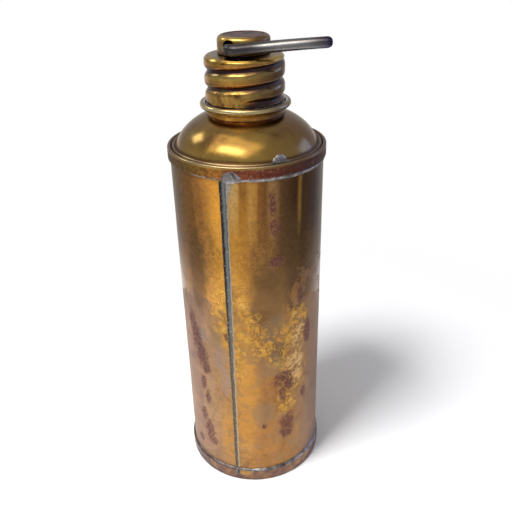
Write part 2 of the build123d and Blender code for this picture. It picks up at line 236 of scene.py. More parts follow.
def pad(name, top, bottom):
    """A closed patch between an upper and a lower grid of points."""
    rows, columns = top.shape[:2]
    count = rows * columns
    faces = quads(rows, columns, False, False).tolist()
    faces += quads(rows, columns, False, False, start=count)[:, ::-1].tolist()
    number = np.arange(count).reshape(rows, columns)
    border = np.concatenate([number[0, :-1], number[:-1, -1], number[-1, :0:-1], number[:0:-1, 0]])
    for here, there in zip(border, np.roll(border, -1)):
        faces.append([here, there, there + count, here + count])
    return make_mesh(name, np.vstack([top.reshape(-1, 3), bottom.reshape(-1, 3)]), faces)


def drop(name, surface, half_width, half_height, thickness, seed, taper):
    """A frozen drop of solder on a surface: ragged edge, domed and lumpy. Taper narrows its upper end."""
    rings, spokes = 14, 56
    spoke = np.linspace(0, 360, spokes, endpoint=False)
    share, around = np.meshgrid(np.linspace(0.06, 1, rings), spoke, indexing="ij")
    ragged = 0.92 + 0.24 * ripple(around, 0 * around, seed, 4, 1)
    ragged = ragged + 0.1 * ripple(around, 0 * around, seed + 2, 11, 1)
    up = share * ragged * np.sin(np.radians(around))
    across = share * ragged * np.cos(np.radians(around)) * (1 - taper * (up + 1) / 2)
    lumps = ripple(around, share * 900, seed + 1, 4, 900)
    lift = thickness * (np.clip(1 - share**2, 0, 1) ** 0.6 + 0.3 * lumps * (1 - share))
    top = surface(across * half_width, up * half_height, lift)
    under = surface(across * half_width, up * half_height, 0 * lift - 0.25)
    points = np.vstack([top.reshape(-1, 3), under.reshape(-1, 3)])
    count = rings * spokes
    faces = quads(rings, spokes, False, True).tolist()
    faces += quads(rings, spokes, False, True, start=count)[:, ::-1].tolist()
    outer = (rings - 1) * spokes
    for s in range(spokes):
        follow = (s + 1) % spokes
        faces.append([outer + s, outer + follow, count + outer + follow, count + outer + s])
    faces.append(list(range(spokes))[::-1])
    faces.append(list(range(count, count + spokes)))
    return make_mesh(name, points, faces)


def swept(name, path, radii, sides=56):
    """A round bar along a path, closed at both ends."""
    path = np.array(path, float)
    ahead = np.gradient(path, axis=0)
    ahead /= np.linalg.norm(ahead, axis=1)[:, None]
    side = np.cross(ahead[0], [0, 0, 1])
    turn = np.radians(np.linspace(0, 360, sides, endpoint=False))
    points = []
    for place, direction, radius in zip(path, ahead, radii):
        side = side - direction * (side @ direction)
        side /= np.linalg.norm(side)
        over = np.cross(side, direction)
        points.append(place + radius * (np.outer(np.cos(turn), side) + np.outer(np.sin(turn), over)))
    count = len(path)
    faces = quads(count, sides, False, True).tolist()
    faces.append(list(range(sides))[::-1])
    faces.append(list(range((count - 1) * sides, count * sides)))
    return make_mesh(name, np.vstack(points), faces, sharp=50)


def bored(piece, cutters):
    """The piece with holes cut through it."""
    for cutter in cutters:
        cut = piece.modifiers.new("bore", "BOOLEAN")
        cut.operation = "DIFFERENCE"
        cut.solver = "EXACT"
        cut.object = cutter
    bpy.context.view_layer.update()
    result = bpy.data.meshes.new_from_object(piece.evaluated_get(bpy.context.evaluated_depsgraph_get()))
    piece.modifiers.clear()
    piece.data = result
    result.polygons.foreach_set("use_smooth", [True] * len(result.polygons))
    result.set_sharp_from_angle(angle=math.radians(30))
    for cutter in cutters:
        bpy.data.objects.remove(cutter)
    return piece


# ---------------------------------------------------------------- node materials
class Value:
    """What a node gives out. Arithmetic on it makes further nodes."""

    def __init__(self, nodes, socket):
        self.nodes, self.socket = nodes, socket

    def maths(self, operation, other=0.0):
        return self.nodes.value("ShaderNodeMath", {0: self, 1: other}, operation=operation)

    def __add__(self, other):
        return self.maths("ADD", other)

    def __sub__(self, other):
        return self.maths("SUBTRACT", other)

    def __mul__(self, other):
        return self.maths("MULTIPLY", other)

    def __truediv__(self, other):
        return self.maths("DIVIDE", other)

    def __abs__(self):
        return self.maths("ABSOLUTE")

    def or_more(self, other):
        return self.maths("MAXIMUM", other)

    def between(self, low, high, start=0.0, end=1.0):
        """Goes smoothly from start to end as this goes from low to high."""
        values = {0: self, 1: low, 2: high, 3: start, 4: end}
        return self.nodes.value("ShaderNodeMapRange", values, interpolation_type="SMOOTHSTEP")

    def ramp(self, stops):
        """Colours along a value from 0 to 1."""
        made = self.nodes.node("ShaderNodeValToRGB", {0: self})
        elements = made.color_ramp.elements
        for element, (position, colour) in zip(elements, (stops[0], stops[-1])):
            element.position = position
            element.color = (*colour, 1.0)
        for position, colour in stops[1:-1]:
            elements.new(position).color = (*colour, 1.0)
        return Value(self.nodes, made.outputs[0])

    def tinted(self, share, colour, blend="MIX"):
        """This colour with another laid over a share of it."""
        values = {0: share, 6: self, 7: colour}
        return self.nodes.value("ShaderNodeMix", values, 2, data_type="RGBA", blend_type=blend)


class Nodes:
    """A node tree, with the coordinates that its masks and colours are placed by."""

    def __init__(self, owner, coordinates="Object"):
        owner.use_nodes = True
        self.tree = owner.node_tree
        self.tree.nodes.clear()
        self.place = self.value("ShaderNodeTexCoord", output=coordinates)
        split = self.node("ShaderNodeSeparateXYZ", {0: self.place})
        self.x, self.y, self.z = [Value(self, output) for output in split.outputs]
        self.angle = self.y.maths("ARCTAN2", self.x)

    def node(self, kind, inputs=None, **settings):
        """A new node with its settings, and values or links for its inputs."""
        made = self.tree.nodes.new(kind)
        for key, value in settings.items():
            setattr(made, key, value)
        for key, value in (inputs or {}).items():
            socket = made.inputs[key]
            if isinstance(value, Value):
                self.tree.links.new(value.socket, socket)
            elif socket.type == "RGBA":
                socket.default_value = (*value, 1.0)
            else:
                socket.default_value = value
        return made

    def value(self, kind, inputs=None, output=0, **settings):
        """What a new node gives out."""
        return Value(self, self.node(kind, inputs, **settings).outputs[output])


SPOT_EDGE = 0.35


class Shader(Nodes):
    """The nodes of one material on the bottle, in millimetres and angles about its axis."""

    def __init__(self, name):
        self.material = bpy.data.materials.new(name)
        super().__init__(self.material)
        self.height = self.z / MM
        self.radius = (self.x * self.x + self.y * self.y).maths("SQRT") / MM
        self.unrolled = self.value("ShaderNodeCombineXYZ", {0: self.angle * TUBE_RADIUS, 1: self.height})

    def noise(self, size, detail=4.0, roughness=0.55, stretch=(1, 1, 1), distortion=0.0):
        """Noise from 0 to 1 with features about `size` mm across, drawn out by `stretch`."""
        scaled = self.value("ShaderNodeMapping", {"Vector": self.place, "Scale": [1 / s for s in stretch]})
        values = {"Vector": scaled, "Scale": 1 / (size * MM), "Detail": detail}
        values |= {"Roughness": roughness, "Distortion": distortion}
        return self.value("ShaderNodeTexNoise", values)

    def specks(self, size, low=0.62, high=0.75, detail=3.0, roughness=0.7):
        """The peaks of a fine noise: pits, flecks and worn spots."""
        return self.noise(size, detail, roughness).between(low, high)

    def around(self, stops, wander=0.0):
        """Colours round the axis, at angles from -180 to 180 degrees."""
        share = self.angle / (2 * math.pi) + 0.5
        if wander:
            share = share + (self.noise(26, 2.0, stretch=(1, 1, 3)) - 0.5) * (wander / 360)
        return share.ramp([((angle + 180) / 360, colour) for angle, colour in stops])

    def round_share(self, stops):
        """A value from 0 to 1 round the axis, as a grey colour."""
        return self.around([(angle, (share, share, share)) for angle, share in stops])

    def spot(self, angle, height, half_width, half_height, ragged):
        """A ragged patch on the tube's wall."""
        middle = (math.radians(angle) * TUBE_RADIUS, height, 0.0)
        away = self.value("ShaderNodeVectorMath", {0: self.unrolled, 1: middle}, operation="SUBTRACT")
        scale = (1 / half_width, 1 / half_height, 0.0)
        away = self.value("ShaderNodeVectorMath", {0: away, 1: scale}, operation="MULTIPLY")
        away = self.value("ShaderNodeVectorMath", {0: away}, "Value", operation="LENGTH")
        return (away + ragged).between(1 + SPOT_EDGE, 1 - SPOT_EDGE)

    def spots(self, places, raggedness, size):
        """Several patches as one mask."""
        ragged = (self.noise(size, 5.0, 0.65) - 0.5) * raggedness
        mask = self.spot(*places[0], ragged)
        for place in places[1:]:
            mask = mask.or_more(self.spot(*place, ragged))
        return mask

    def bump(self, heights):
        """A normal from several (height, depth in mm) layers."""
        values = {"Strength": 1.0}
        for height, depth in heights:
            values |= {"Height": height, "Distance": depth * MM}
            values["Normal"] = self.value("ShaderNodeBump", values)
        return values["Normal"]

    def finish(self, colour, roughness, metallic, heights):
        """Joins everything to the surface."""
        values = {"Base Color": colour, "Roughness": roughness, "Metallic": metallic}
        surface = self.value("ShaderNodeBsdfPrincipled", values | {"Normal": self.bump(heights)})
        self.node("ShaderNodeOutputMaterial", {"Surface": surface})
        return self.material


# Patina colours shared by the brass materials
TAN = (0.47, 0.27, 0.11)
GOLD = (0.60, 0.33, 0.08)
YELLOW = (0.76, 0.42, 0.06)
BROWN = (0.21, 0.10, 0.04)
DARK = (0.05, 0.025, 0.015)
PLUM = (0.14, 0.04, 0.04)
OLIVE = (0.34, 0.21, 0.06)


def brass_grain(shader, depth=0.03):
    """Fine surface relief of old handled brass: pits, faint dents and rubbing marks."""
    pits = shader.specks(0.9)
    rubs = shader.noise(1.4, 2.0, 0.6, stretch=(1, 1, 9))
    waves = shader.noise(14, 2.0, 0.5)
    return [(waves, depth * 6), (rubs, depth * 0.5), (pits, -depth)]


def upper_painted_reflections(shader):
    """Upright bands near the shoulder: painted reflections, bright and dark, on the sheet's own colour."""
    return shader.around([
        (-180, (0.40, 0.26, 0.11)), (-155, (0.25, 0.15, 0.06)), (-141, (0.36, 0.17, 0.05)),
        (-134, (0.36, 0.17, 0.05)), (-132, (0.52, 0.24, 0.07)), (-126, (0.55, 0.25, 0.07)),
        (-124.5, (0.64, 0.30, 0.075)), (-113, (0.80, 0.38, 0.06)), (-106, (0.70, 0.36, 0.07)),
        (-101, (0.80, 0.54, 0.24)), (-98.5, (0.76, 0.46, 0.15)), (-97, (0.46, 0.21, 0.05)),
        (-92, (0.54, 0.26, 0.06)), (-90.5, (0.78, 0.43, 0.12)), (-86, (0.64, 0.33, 0.08)),
        (-84.5, (0.40, 0.18, 0.05)), (-79, (0.24, 0.11, 0.04)), (-75, (0.46, 0.26, 0.11)),
        (-70, (0.36, 0.20, 0.09)), (-68, (0.20, 0.11, 0.05)), (-57, (0.12, 0.06, 0.03)),
        (-53, (0.10, 0.05, 0.022)), (-50.5, (0.50, 0.28, 0.07)), (-48, (0.11, 0.055, 0.027)),
        (-34, (0.07, 0.035, 0.022)), (-20, (0.17, 0.10, 0.07)), (10, (0.50, 0.32, 0.14)),
        (62, (0.40, 0.21, 0.07)), (84, (0.30, 0.16, 0.06)), (104, (0.58, 0.34, 0.12)),
        (146, (0.40, 0.22, 0.07)), (180, (0.40, 0.26, 0.11)),
    ], wander=9)


def middle_painted_reflections(shader):
    """Broader painted reflections, brown and golden, half way up the tube, on the sheet's own colour."""
    return shader.around([
        (-180, (0.45, 0.28, 0.14)), (-141, (0.36, 0.17, 0.055)), (-129, (0.52, 0.26, 0.085)),
        (-117, (0.70, 0.34, 0.08)), (-100, (0.74, 0.38, 0.09)), (-89, (0.42, 0.21, 0.065)),
        (-74, (0.32, 0.17, 0.06)), (-60, (0.13, 0.07, 0.035)), (-45, (0.13, 0.065, 0.025)),
        (-22, (0.22, 0.13, 0.08)), (20, (0.50, 0.28, 0.10)), (60, (0.34, 0.18, 0.07)),
        (100, (0.60, 0.32, 0.09)), (140, (0.32, 0.17, 0.07)), (180, (0.45, 0.28, 0.14)),
    ], wander=16)


def weathered_bands(shader):
    """The dull lower half: tan, orange and pinkish."""
    return shader.around([
        (-180, (0.44, 0.26, 0.16)), (-140, (0.38, 0.22, 0.145)), (-131, (0.46, 0.28, 0.16)),
        (-121, (0.44, 0.255, 0.125)), (-112, (0.49, 0.27, 0.10)), (-95, (0.53, 0.28, 0.09)),
        (-81, (0.42, 0.20, 0.065)), (-62, (0.40, 0.205, 0.07)), (-50, (0.36, 0.19, 0.08)),
        (-30, (0.30, 0.18, 0.12)), (0, (0.38, 0.23, 0.15)), (45, (0.46, 0.25, 0.09)),
        (90, (0.40, 0.21, 0.08)), (135, (0.50, 0.27, 0.09)), (180, (0.44, 0.26, 0.16)),
    ], wander=24)


def body_material():
    """Rolled sheet: mirror-like with upright bands of painted reflection above, warm, matt and stained below.
    """
    shader = Shader("body_brass")
    cloud = shader.noise(20, 6.0, 0.62, distortion=0.8)
    broad = shader.noise(34, 3.0, 0.5, distortion=0.5)
    fine = shader.noise(2.4, 6.0, 0.75)
    level = shader.height + (broad - 0.5) * 60.0
    # Painted reflections by angle round the axis: the middle bands lower down, the upper bands near the
    # shoulder.
    upper = middle_painted_reflections(shader).tinted(level.between(165, 190), upper_painted_reflections(shader))
    share = (shader.height + (cloud - 0.5) * 110.0).between(128, 142)
    colour = weathered_bands(shader).tinted(share, upper)
    shade = cloud.ramp([
        (0.3, (0.62, 0.58, 0.6)), (0.44, (0.92, 0.9, 0.9)), (0.58, (1.0, 1.0, 1.0)),
        (0.72, (1.22, 1.24, 1.1)),
    ])
    colour = colour.tinted(share.between(1.0, 0.0, 0.4, 1.0), shade, "MULTIPLY")
    tone = fine.ramp([(0.3, (0.66, 0.62, 0.58)), (0.5, (1.0, 1.0, 1.0)), (0.7, (1.25, 1.22, 1.1))])
    colour = colour.tinted(0.8, tone, "MULTIPLY")
    tarnish = shader.spots([
        (-134, 152, 6, 24), (-78, 136, 9, 26), (-60, 168, 7, 20), (-70, 99, 7, 8), (40, 150, 9, 22),
        (110, 120, 14, 20),
    ], 1.5, 12)
    colour = colour.tinted(tarnish * 0.68, (0.18, 0.10, 0.045))
    # Orange upright streaks: partly the sheet's own colour and partly painted reflection of a warm light.
    warm = shader.spots([
        (-97, 165, 5, 30), (-112, 150, 4, 34), (-96, 66, 6, 34), (-113, 34, 5, 18),
    ], 2.2, 14)
    colour = colour.tinted(warm * 0.35, (0.76, 0.36, 0.05))
    ash = shader.noise(9, 7.0, 0.7, distortion=0.6).between(0.5, 0.6)
    ash = ash * share.between(1.0, 0.0, 0.0, 0.45)
    ashen = shader.spots([
        (-74, 90, 9, 9), (-78, 112, 4, 9), (-70, 118, 8, 8), (-120, 110, 4, 10), (-84, 55, 7, 9),
    ], 2.0, 6)
    ash = ash.or_more(ashen * 0.6)
    colour = colour.tinted(ash, (0.29, 0.195, 0.11))
    crust = shader.noise(4.2, 9.0, 0.82, distortion=0.5).between(0.47, 0.535) * shader.spots([
        (-112, 128, 7, 22), (-99, 132, 6, 14), (-90, 118, 8, 12), (-79, 106, 9, 9), (-64, 104, 11, 15),
        (-50, 116, 7, 10), (-57, 82, 9, 14), (-62, 63, 6, 10), (-102, 100, 5, 20), (15, 110, 12, 20),
        (130, 95, 14, 24),
    ], 2.0, 8)
    flakes = fine.ramp([(0.36, (0.62, 0.27, 0.03)), (0.5, YELLOW), (0.62, (0.80, 0.50, 0.14))])
    colour = colour.tinted(crust * 0.85, flakes)
    pale = shader.spots([(-52, 88, 7, 12), (-49, 106, 5, 9)], 1.8, 5) * crust
    colour = colour.tinted(pale * 0.7, (0.78, 0.55, 0.28))
    stain = shader.spots([
        (-73.5, 192, 2.0, 8), (-71.5, 180, 2.6, 6), (-70.5, 160, 4.6, 3.4), (-147, 113, 4, 7),
        (-142, 103, 5, 8), (-137, 92, 5, 9), (-133, 84, 3, 5), (-137, 71, 2.4, 6), (-133, 61, 2.4, 6),
        (-139, 45, 3, 5), (-133, 34, 4, 7), (-131, 26, 4, 4), (-147, 20, 3, 3), (-66, 79, 6, 5),
        (-61, 76, 4, 6), (-66, 68, 2.5, 5), (-44, 62, 2.5, 3.5), (-62, 45, 5, 6), (-61, 37, 5, 5),
        (-82, 45, 1.8, 2), (-49, 134, 2.2, 7), (-40, 106, 3, 9), (30, 120, 7, 12), (75, 60, 10, 7),
        (140, 90, 6, 14), (165, 150, 5, 8), (-110, 112, 2, 3),
    ], 2.0, 4)
    stain = stain * shader.noise(1.1, 4.0, 0.6).between(0.4, 0.56, 0.35, 1.0)
    colour = colour.tinted(stain * 0.92, PLUM)
    haze = shader.spots([(-117, 94, 4, 8), (-113, 78, 3, 12), (-134, 108, 3, 5)], 2.4, 9)
    haze = haze * fine.between(0.35, 0.62, 0.15, 0.6)
    colour = colour.tinted(haze, (0.30, 0.26, 0.26))
    colour = colour.tinted(shader.specks(1.5, 0.64, 0.7, 5.0, 0.85) * 0.75, DARK)
    # Darker low down just above the base skirt, and a painted shadow just under the overhanging shoulder
    # skirt.
    foot = (shader.height + fine * 6).between(14.5, 11)
    head = shader.height.between(SHOULDER_BOTTOM - 4, SHOULDER_BOTTOM)
    colour = colour.tinted(foot.or_more(head) * 0.6, BROWN)
    matt = stain.or_more(crust)
    rough = share.between(0.0, 1.0, 0.46, 0.17) + fine.between(0.35, 0.7, -0.03, 0.08) + matt * 0.12
    metal = matt.between(0.0, 1.0, 1.0, 0.7)
    return shader.finish(colour, rough, metal, [
        (shader.noise(14, 2.0, 0.5), 0.16), (shader.noise(1.4, 2.0, 0.6, stretch=(1, 1, 9)), 0.015),
        (shader.specks(0.9), -0.03), (crust, 0.06), (stain, 0.09),
    ])


def pan_material():
    """The base skirt: grey-purple and orange-brown, dull."""
    shader = Shader("pan_brass")
    cloud = shader.noise(10, 6.0, 0.68, distortion=0.6)
    colour = cloud.ramp([
        (0.32, (0.10, 0.065, 0.07)), (0.46, (0.20, 0.11, 0.08)), (0.58, (0.33, 0.17, 0.075)),
        (0.76, (0.40, 0.22, 0.09)),
    ])
    left = shader.round_share([(-180, 0.5), (-135, 0.75), (-112, 0.2), (-50, 0.15), (-25, 0.6), (180, 0.5)])
    colour = colour.tinted(left, (0.17, 0.12, 0.125))
    # Painted contact shadow: darker along the bottom 2 mm of the skirt.
    colour = colour.tinted(shader.height.between(2.0, 0.2) * 0.6, (0.10, 0.05, 0.035))
    worn = shader.specks(5, 0.5, 0.64, 4.0) * shader.height.between(2.0, 4.4)
    colour = colour.tinted(worn * 0.5, GOLD)
    rough = cloud.between(0.3, 0.7, 0.52, 0.34)
    return shader.finish(colour, rough, 1.0, brass_grain(shader, 0.04))


def shoulder_material():
    """Dome polished by hands; the band below it reddish and rough to the right of the seam."""
    shader = Shader("shoulder_brass")
    cloud = shader.noise(18, 5.0, 0.58, distortion=0.4)
    fine = shader.noise(1.8, 6.0, 0.75)
    dome = cloud.ramp([
        (0.3, (0.26, 0.14, 0.05)), (0.45, (0.38, 0.228, 0.06)), (0.6, (0.46, 0.292, 0.075)),
        (0.8, (0.52, 0.35, 0.10)),
    ])
    dome = dome.tinted(shader.radius.between(31, 24) * 0.4, (0.42, 0.25, 0.10))
    # Painted shade: the dome darker towards its left and right sides and round the back, where it reflects a
    # dark room.
    sides = shader.round_share([
        (-180, 0.5), (-158, 0.5), (-136, 0.0), (-82, 0.0), (-58, 0.5), (-20, 0.75), (180, 0.5),
    ])
    dome = dome.tinted(sides, (0.15, 0.075, 0.04))
    band = shader.around([
        (-180, (0.24, 0.16, 0.06)), (-140, (0.24, 0.155, 0.04)), (-125, (0.33, 0.17, 0.04)),
        (-109, (0.56, 0.23, 0.05)), (-103, (0.34, 0.11, 0.05)), (-85, (0.30, 0.085, 0.045)),
        (-66, (0.20, 0.055, 0.035)), (-40, (0.12, 0.055, 0.045)), (0, (0.26, 0.16, 0.07)), (100, TAN),
        (180, (0.24, 0.16, 0.06)),
    ], wander=12)
    band = band.tinted(fine.between(0.47, 0.56) * 0.6, (0.07, 0.025, 0.018))
    silver = shader.specks(2.0, 0.57, 0.63, 5.0, 0.8)
    copper = shader.round_share([(-180, 0.0), (-106, 0.0), (-100, 0.6), (-40, 0.5), (-20, 0.0), (180, 0.0)])
    band = band.tinted(silver * copper, (0.55, 0.45, 0.42))
    above = shader.height.between(SHOULDER_BOTTOM + 4.6, SHOULDER_BOTTOM + 5.4)
    colour = band.tinted(above, dome)
    # Painted highlight along the top of the ridge, strongest at the front-left.
    ridge = shader.height.between(RIDGE_TOP - 1.2, RIDGE_TOP - 0.3) * shader.radius.between(39.4, 40.4)
    lit = shader.round_share([
        (-180, 0.2), (-150, 0.4), (-125, 0.8), (-85, 0.8), (-50, 0.3), (-20, 0.1), (180, 0.2),
    ])
    colour = colour.tinted(ridge * lit, (0.52, 0.40, 0.24))
    # The same painted shade on the outside of the ridge.
    outside = shader.radius.between(38.8, 40.0) * sides
    colour = colour.tinted(outside * 0.8, (0.10, 0.05, 0.045))
    # Painted shade in the valley behind the ridge, at the dome's foot and round the neck; these places are
    # rougher too.
    foot = abs(shader.radius - 38.7).between(0.9, 0.2)
    valley = abs(shader.radius - 41.0).between(0.7, 0.2).or_more(foot) * above
    crease_shade = valley.or_more(shader.radius.between(21.4, 20.6)) * 0.85
    colour = colour.tinted(crease_shade, (0.07, 0.025, 0.018))
    rough = above.between(0.0, 1.0, 0.44, 0.2) + cloud.between(0.3, 0.7, -0.02, 0.05) + crease_shade * 0.15
    relief = above.between(1.0, 0.0) * fine
    return shader.finish(colour, rough, 1.0, [
        (shader.noise(14, 2.0, 0.5), 0.12), (shader.specks(0.9), -0.015), (relief, 0.12),
    ])


def cap_material():
    """Spun and rolled cap: olive-gold ribs with painted light and shade (a painted highlight on their upper
    sides, a painted orange reflection beneath, painted shade in the grooves), bright worn edges.
    """
    shader = Shader("cap_brass")
    cloud = shader.noise(7, 6.0, 0.65, distortion=0.5)
    turns = (shader.height - THREAD_HEIGHT) / PITCH
    phase = (shader.angle / (-2 * math.pi) + turns + 8.0).maths("FRACT")
    # Painted light and shade across each rib: dark grooves, a painted orange reflection on the lower side, a
    # painted highlight on the upper side.
    rib_light_and_shade = phase.ramp([
        (0.0, (0.03, 0.014, 0.014)), (0.1, (0.06, 0.025, 0.018)), (0.18, (0.30, 0.12, 0.03)),
        (0.3, (0.46, 0.21, 0.045)), (0.5, (0.42, 0.255, 0.06)), (0.7, (0.56, 0.38, 0.11)),
        (0.86, (0.30, 0.18, 0.06)), (0.95, (0.06, 0.028, 0.022)),
    ])
    skirt = shader.height.between(CAP_TOP - 2.0, CAP_TOP - 3.4)
    start = shader.round_share([(-180, 0.0), (-100, 0.0), (-84, 1.0), (180, 1.0)])
    plain = cloud.ramp([
        (0.32, (0.16, 0.075, 0.03)), (0.48, (0.38, 0.21, 0.05)), (0.64, (0.52, 0.35, 0.10)),
    ])
    colour = plain.tinted(skirt * turns.between(0.6, 0.75).or_more(start), rib_light_and_shade)
    tone = cloud.ramp([(0.3, (0.55, 0.48, 0.42)), (0.5, (1.0, 1.0, 1.0)), (0.72, (1.25, 1.2, 1.1))])
    colour = colour.tinted(0.8, tone, "MULTIPLY")
    # Painted shade at the bottom of the grooves, where the skirt is also made rougher.
    low = skirt * shader.radius.between(CAP_RADIUS - 0.8, CAP_RADIUS - 1.6)
    colour = colour.tinted(low * 0.85, (0.035, 0.016, 0.02))
    # Painted shade: the skirt darker towards the right side and round the back.
    right = shader.round_share([
        (-180, 0.7), (-155, 0.2), (-95, 0.0), (-80, 0.35), (-46, 0.7), (0, 0.8), (180, 0.7),
    ])
    colour = colour.tinted(right * skirt, (0.08, 0.055, 0.06))
    top = skirt.between(1.0, 0.0)
    colour = colour.tinted(shader.radius.between(18.2, 16.4) * top * 0.5, (0.22, 0.14, 0.05))
    joint = shader.radius.between(BOSS_RADIUS + 1.1, BOSS_RADIUS + 0.2)
    colour = colour.tinted(joint * 0.85, DARK)
    rim = abs(shader.radius - (CAP_RADIUS - 1.5)).between(1.3, 0.4)
    rim = rim * shader.height.between(CAP_TOP - 3.4, CAP_TOP - 2.2)
    colour = colour.tinted(rim * 0.6, (0.60, 0.40, 0.10))
    turning = (shader.radius * (2 * math.pi / 1.2)).maths("SINE") * top
    rough = cloud.between(0.3, 0.7, 0.22, 0.12) + low * 0.15
    return shader.finish(colour, rough, 1.0, [
        (shader.noise(8, 2.0, 0.5), 0.16), (shader.noise(3.2, 3.0), 0.07), (turning, 0.03),
        (shader.specks(0.8), -0.03),
    ])


def collar_material():
    """Collar and rolled lip: orange-gold, a dark red line at the foot, a pale yellow painted highlight on the
    bead, painted shade in the crease under it and to the right, a painted silvery reflection inside the lip.
    """
    shader = Shader("collar_brass")
    cloud = shader.noise(7, 5.0, 0.6)
    colour = cloud.ramp([(0.3, (0.26, 0.12, 0.03)), (0.5, (0.46, 0.22, 0.04)), (0.7, (0.58, 0.33, 0.06))])
    # Painted highlight: the bead paler yellow all round.
    bead = shader.radius.between(COLLAR_RADIUS - 1.8, COLLAR_RADIUS - 0.6)
    colour = colour.tinted(bead * 0.85, (0.72, 0.60, 0.32))
    # Painted shade in the crease under the bead.
    crease = abs(shader.height - (COLLAR_TOP - 2.2)).between(0.45, 0.1)
    colour = colour.tinted(crease * 0.6, (0.09, 0.035, 0.02))
    # Painted shade: darker towards the right side.
    right = shader.round_share([
        (-180, 0.3), (-120, 0.0), (-75, 0.1), (-50, 0.7), (0, 0.75), (90, 0.1), (180, 0.3),
    ])
    colour = colour.tinted(right, (0.12, 0.08, 0.07))
    # Painted reflection: a silvery line on the inner slope of the lip.
    inside = shader.radius.between(COLLAR_RADIUS - 1.3, COLLAR_RADIUS - 2.1)
    inside = inside * shader.height.between(COLLAR_TOP - 1.6, COLLAR_TOP - 0.7)
    colour = colour.tinted(inside * 0.85, (0.74, 0.72, 0.68))
    foot = shader.height.between(COLLAR_FOOT + 0.8, COLLAR_FOOT + 0.1)
    colour = colour.tinted(foot * 0.7, (0.12, 0.022, 0.012))
    rough = cloud.between(0.3, 0.7, 0.22, 0.11)
    return shader.finish(colour, rough, 1.0, [
        (shader.noise(3.5, 3.0, 0.6), 0.14), (shader.noise(0.9, 3.0, 0.7), 0.02),
    ])


def boss_material():
    """Turned boss: red-brown oxide on top, olive-gold sides with painted shade to the right, a painted
    highlight on the rounded edge at the front.
    """
    shader = Shader("boss_brass")
    cloud = shader.noise(5, 6.0, 0.68, distortion=0.5)
    top = cloud.ramp([(0.3, (0.04, 0.015, 0.016)), (0.5, (0.11, 0.038, 0.032)), (0.7, (0.27, 0.09, 0.055))])
    side = cloud.ramp([(0.3, (0.07, 0.035, 0.018)), (0.5, (0.20, 0.11, 0.035)), (0.72, (0.36, 0.23, 0.07))])
    # Painted shade: the side darker towards the right.
    right = shader.round_share([
        (-180, 0.2), (-110, 0.0), (-90, 0.25), (-60, 0.85), (20, 0.8), (90, 0.3), (180, 0.2),
    ])
    side = side.tinted(right, (0.11, 0.05, 0.03))
    upper = shader.height.between(BOSS_TOP - 1.0, BOSS_TOP - 0.2)
    colour = side.tinted(upper, top)
    # Painted highlight on the rounded top edge, strongest at the front-left.
    worn = shader.radius.between(BOSS_RADIUS - 2.9, BOSS_RADIUS - 1.6)
    worn = worn * shader.height.between(BOSS_TOP - 2.8, BOSS_TOP - 1.2)
    front = shader.round_share([
        (-180, 0.35), (-140, 0.8), (-112, 1.0), (-84, 0.6), (-60, 0.15), (60, 0.1), (140, 0.25),
        (180, 0.35),
    ])
    worn = worn * front
    colour = colour.tinted(worn, (0.66, 0.44, 0.12))
    groove = abs(shader.radius - 10.2).between(0.45, 0.1)
    colour = colour.tinted(groove * upper * 0.5, DARK)
    foot = shader.height.between(BOSS_FOOT + 1.6, BOSS_FOOT + 0.3)
    colour = colour.tinted(foot * 0.7, DARK)
    turning = (shader.radius * (2 * math.pi / 0.8)).maths("SINE") * upper
    rough = worn.between(0.0, 1.0, 0.34, 0.18) + cloud.between(0.3, 0.7, 0.05, -0.04)
    pits = shader.specks(0.7, 0.6)
    return shader.finish(colour, rough, 0.95, [(shader.noise(5, 2.0), 0.06), (turning, 0.012), (pits, -0.03)])


def solder_material():
    """Soft solder: smooth lilac-grey with darker hollows and a few bright rubbed spots."""
    shader = Shader("solder")
    cloud = shader.noise(4.5, 4.0, 0.55, distortion=0.8)
    colour = cloud.ramp([
        (0.3, (0.05, 0.042, 0.042)), (0.44, (0.15, 0.14, 0.14)), (0.58, (0.31, 0.295, 0.30)),
        (0.74, (0.56, 0.54, 0.55)),
    ])
    specks = shader.specks(1.5, 0.62, 0.7)
    colour = colour.tinted(specks * 0.6, (0.75, 0.73, 0.73))
    brassy = shader.specks(6, 0.58, 0.72, 3.0, 0.6)
    colour = colour.tinted(brassy * 0.4, (0.34, 0.22, 0.13))
    rough = cloud.between(0.3, 0.7, 0.5, 0.34)
    return shader.finish(colour, rough, 0.9, [(cloud, 0.25), (shader.noise(1.3, 3.0, 0.6), 0.05)])


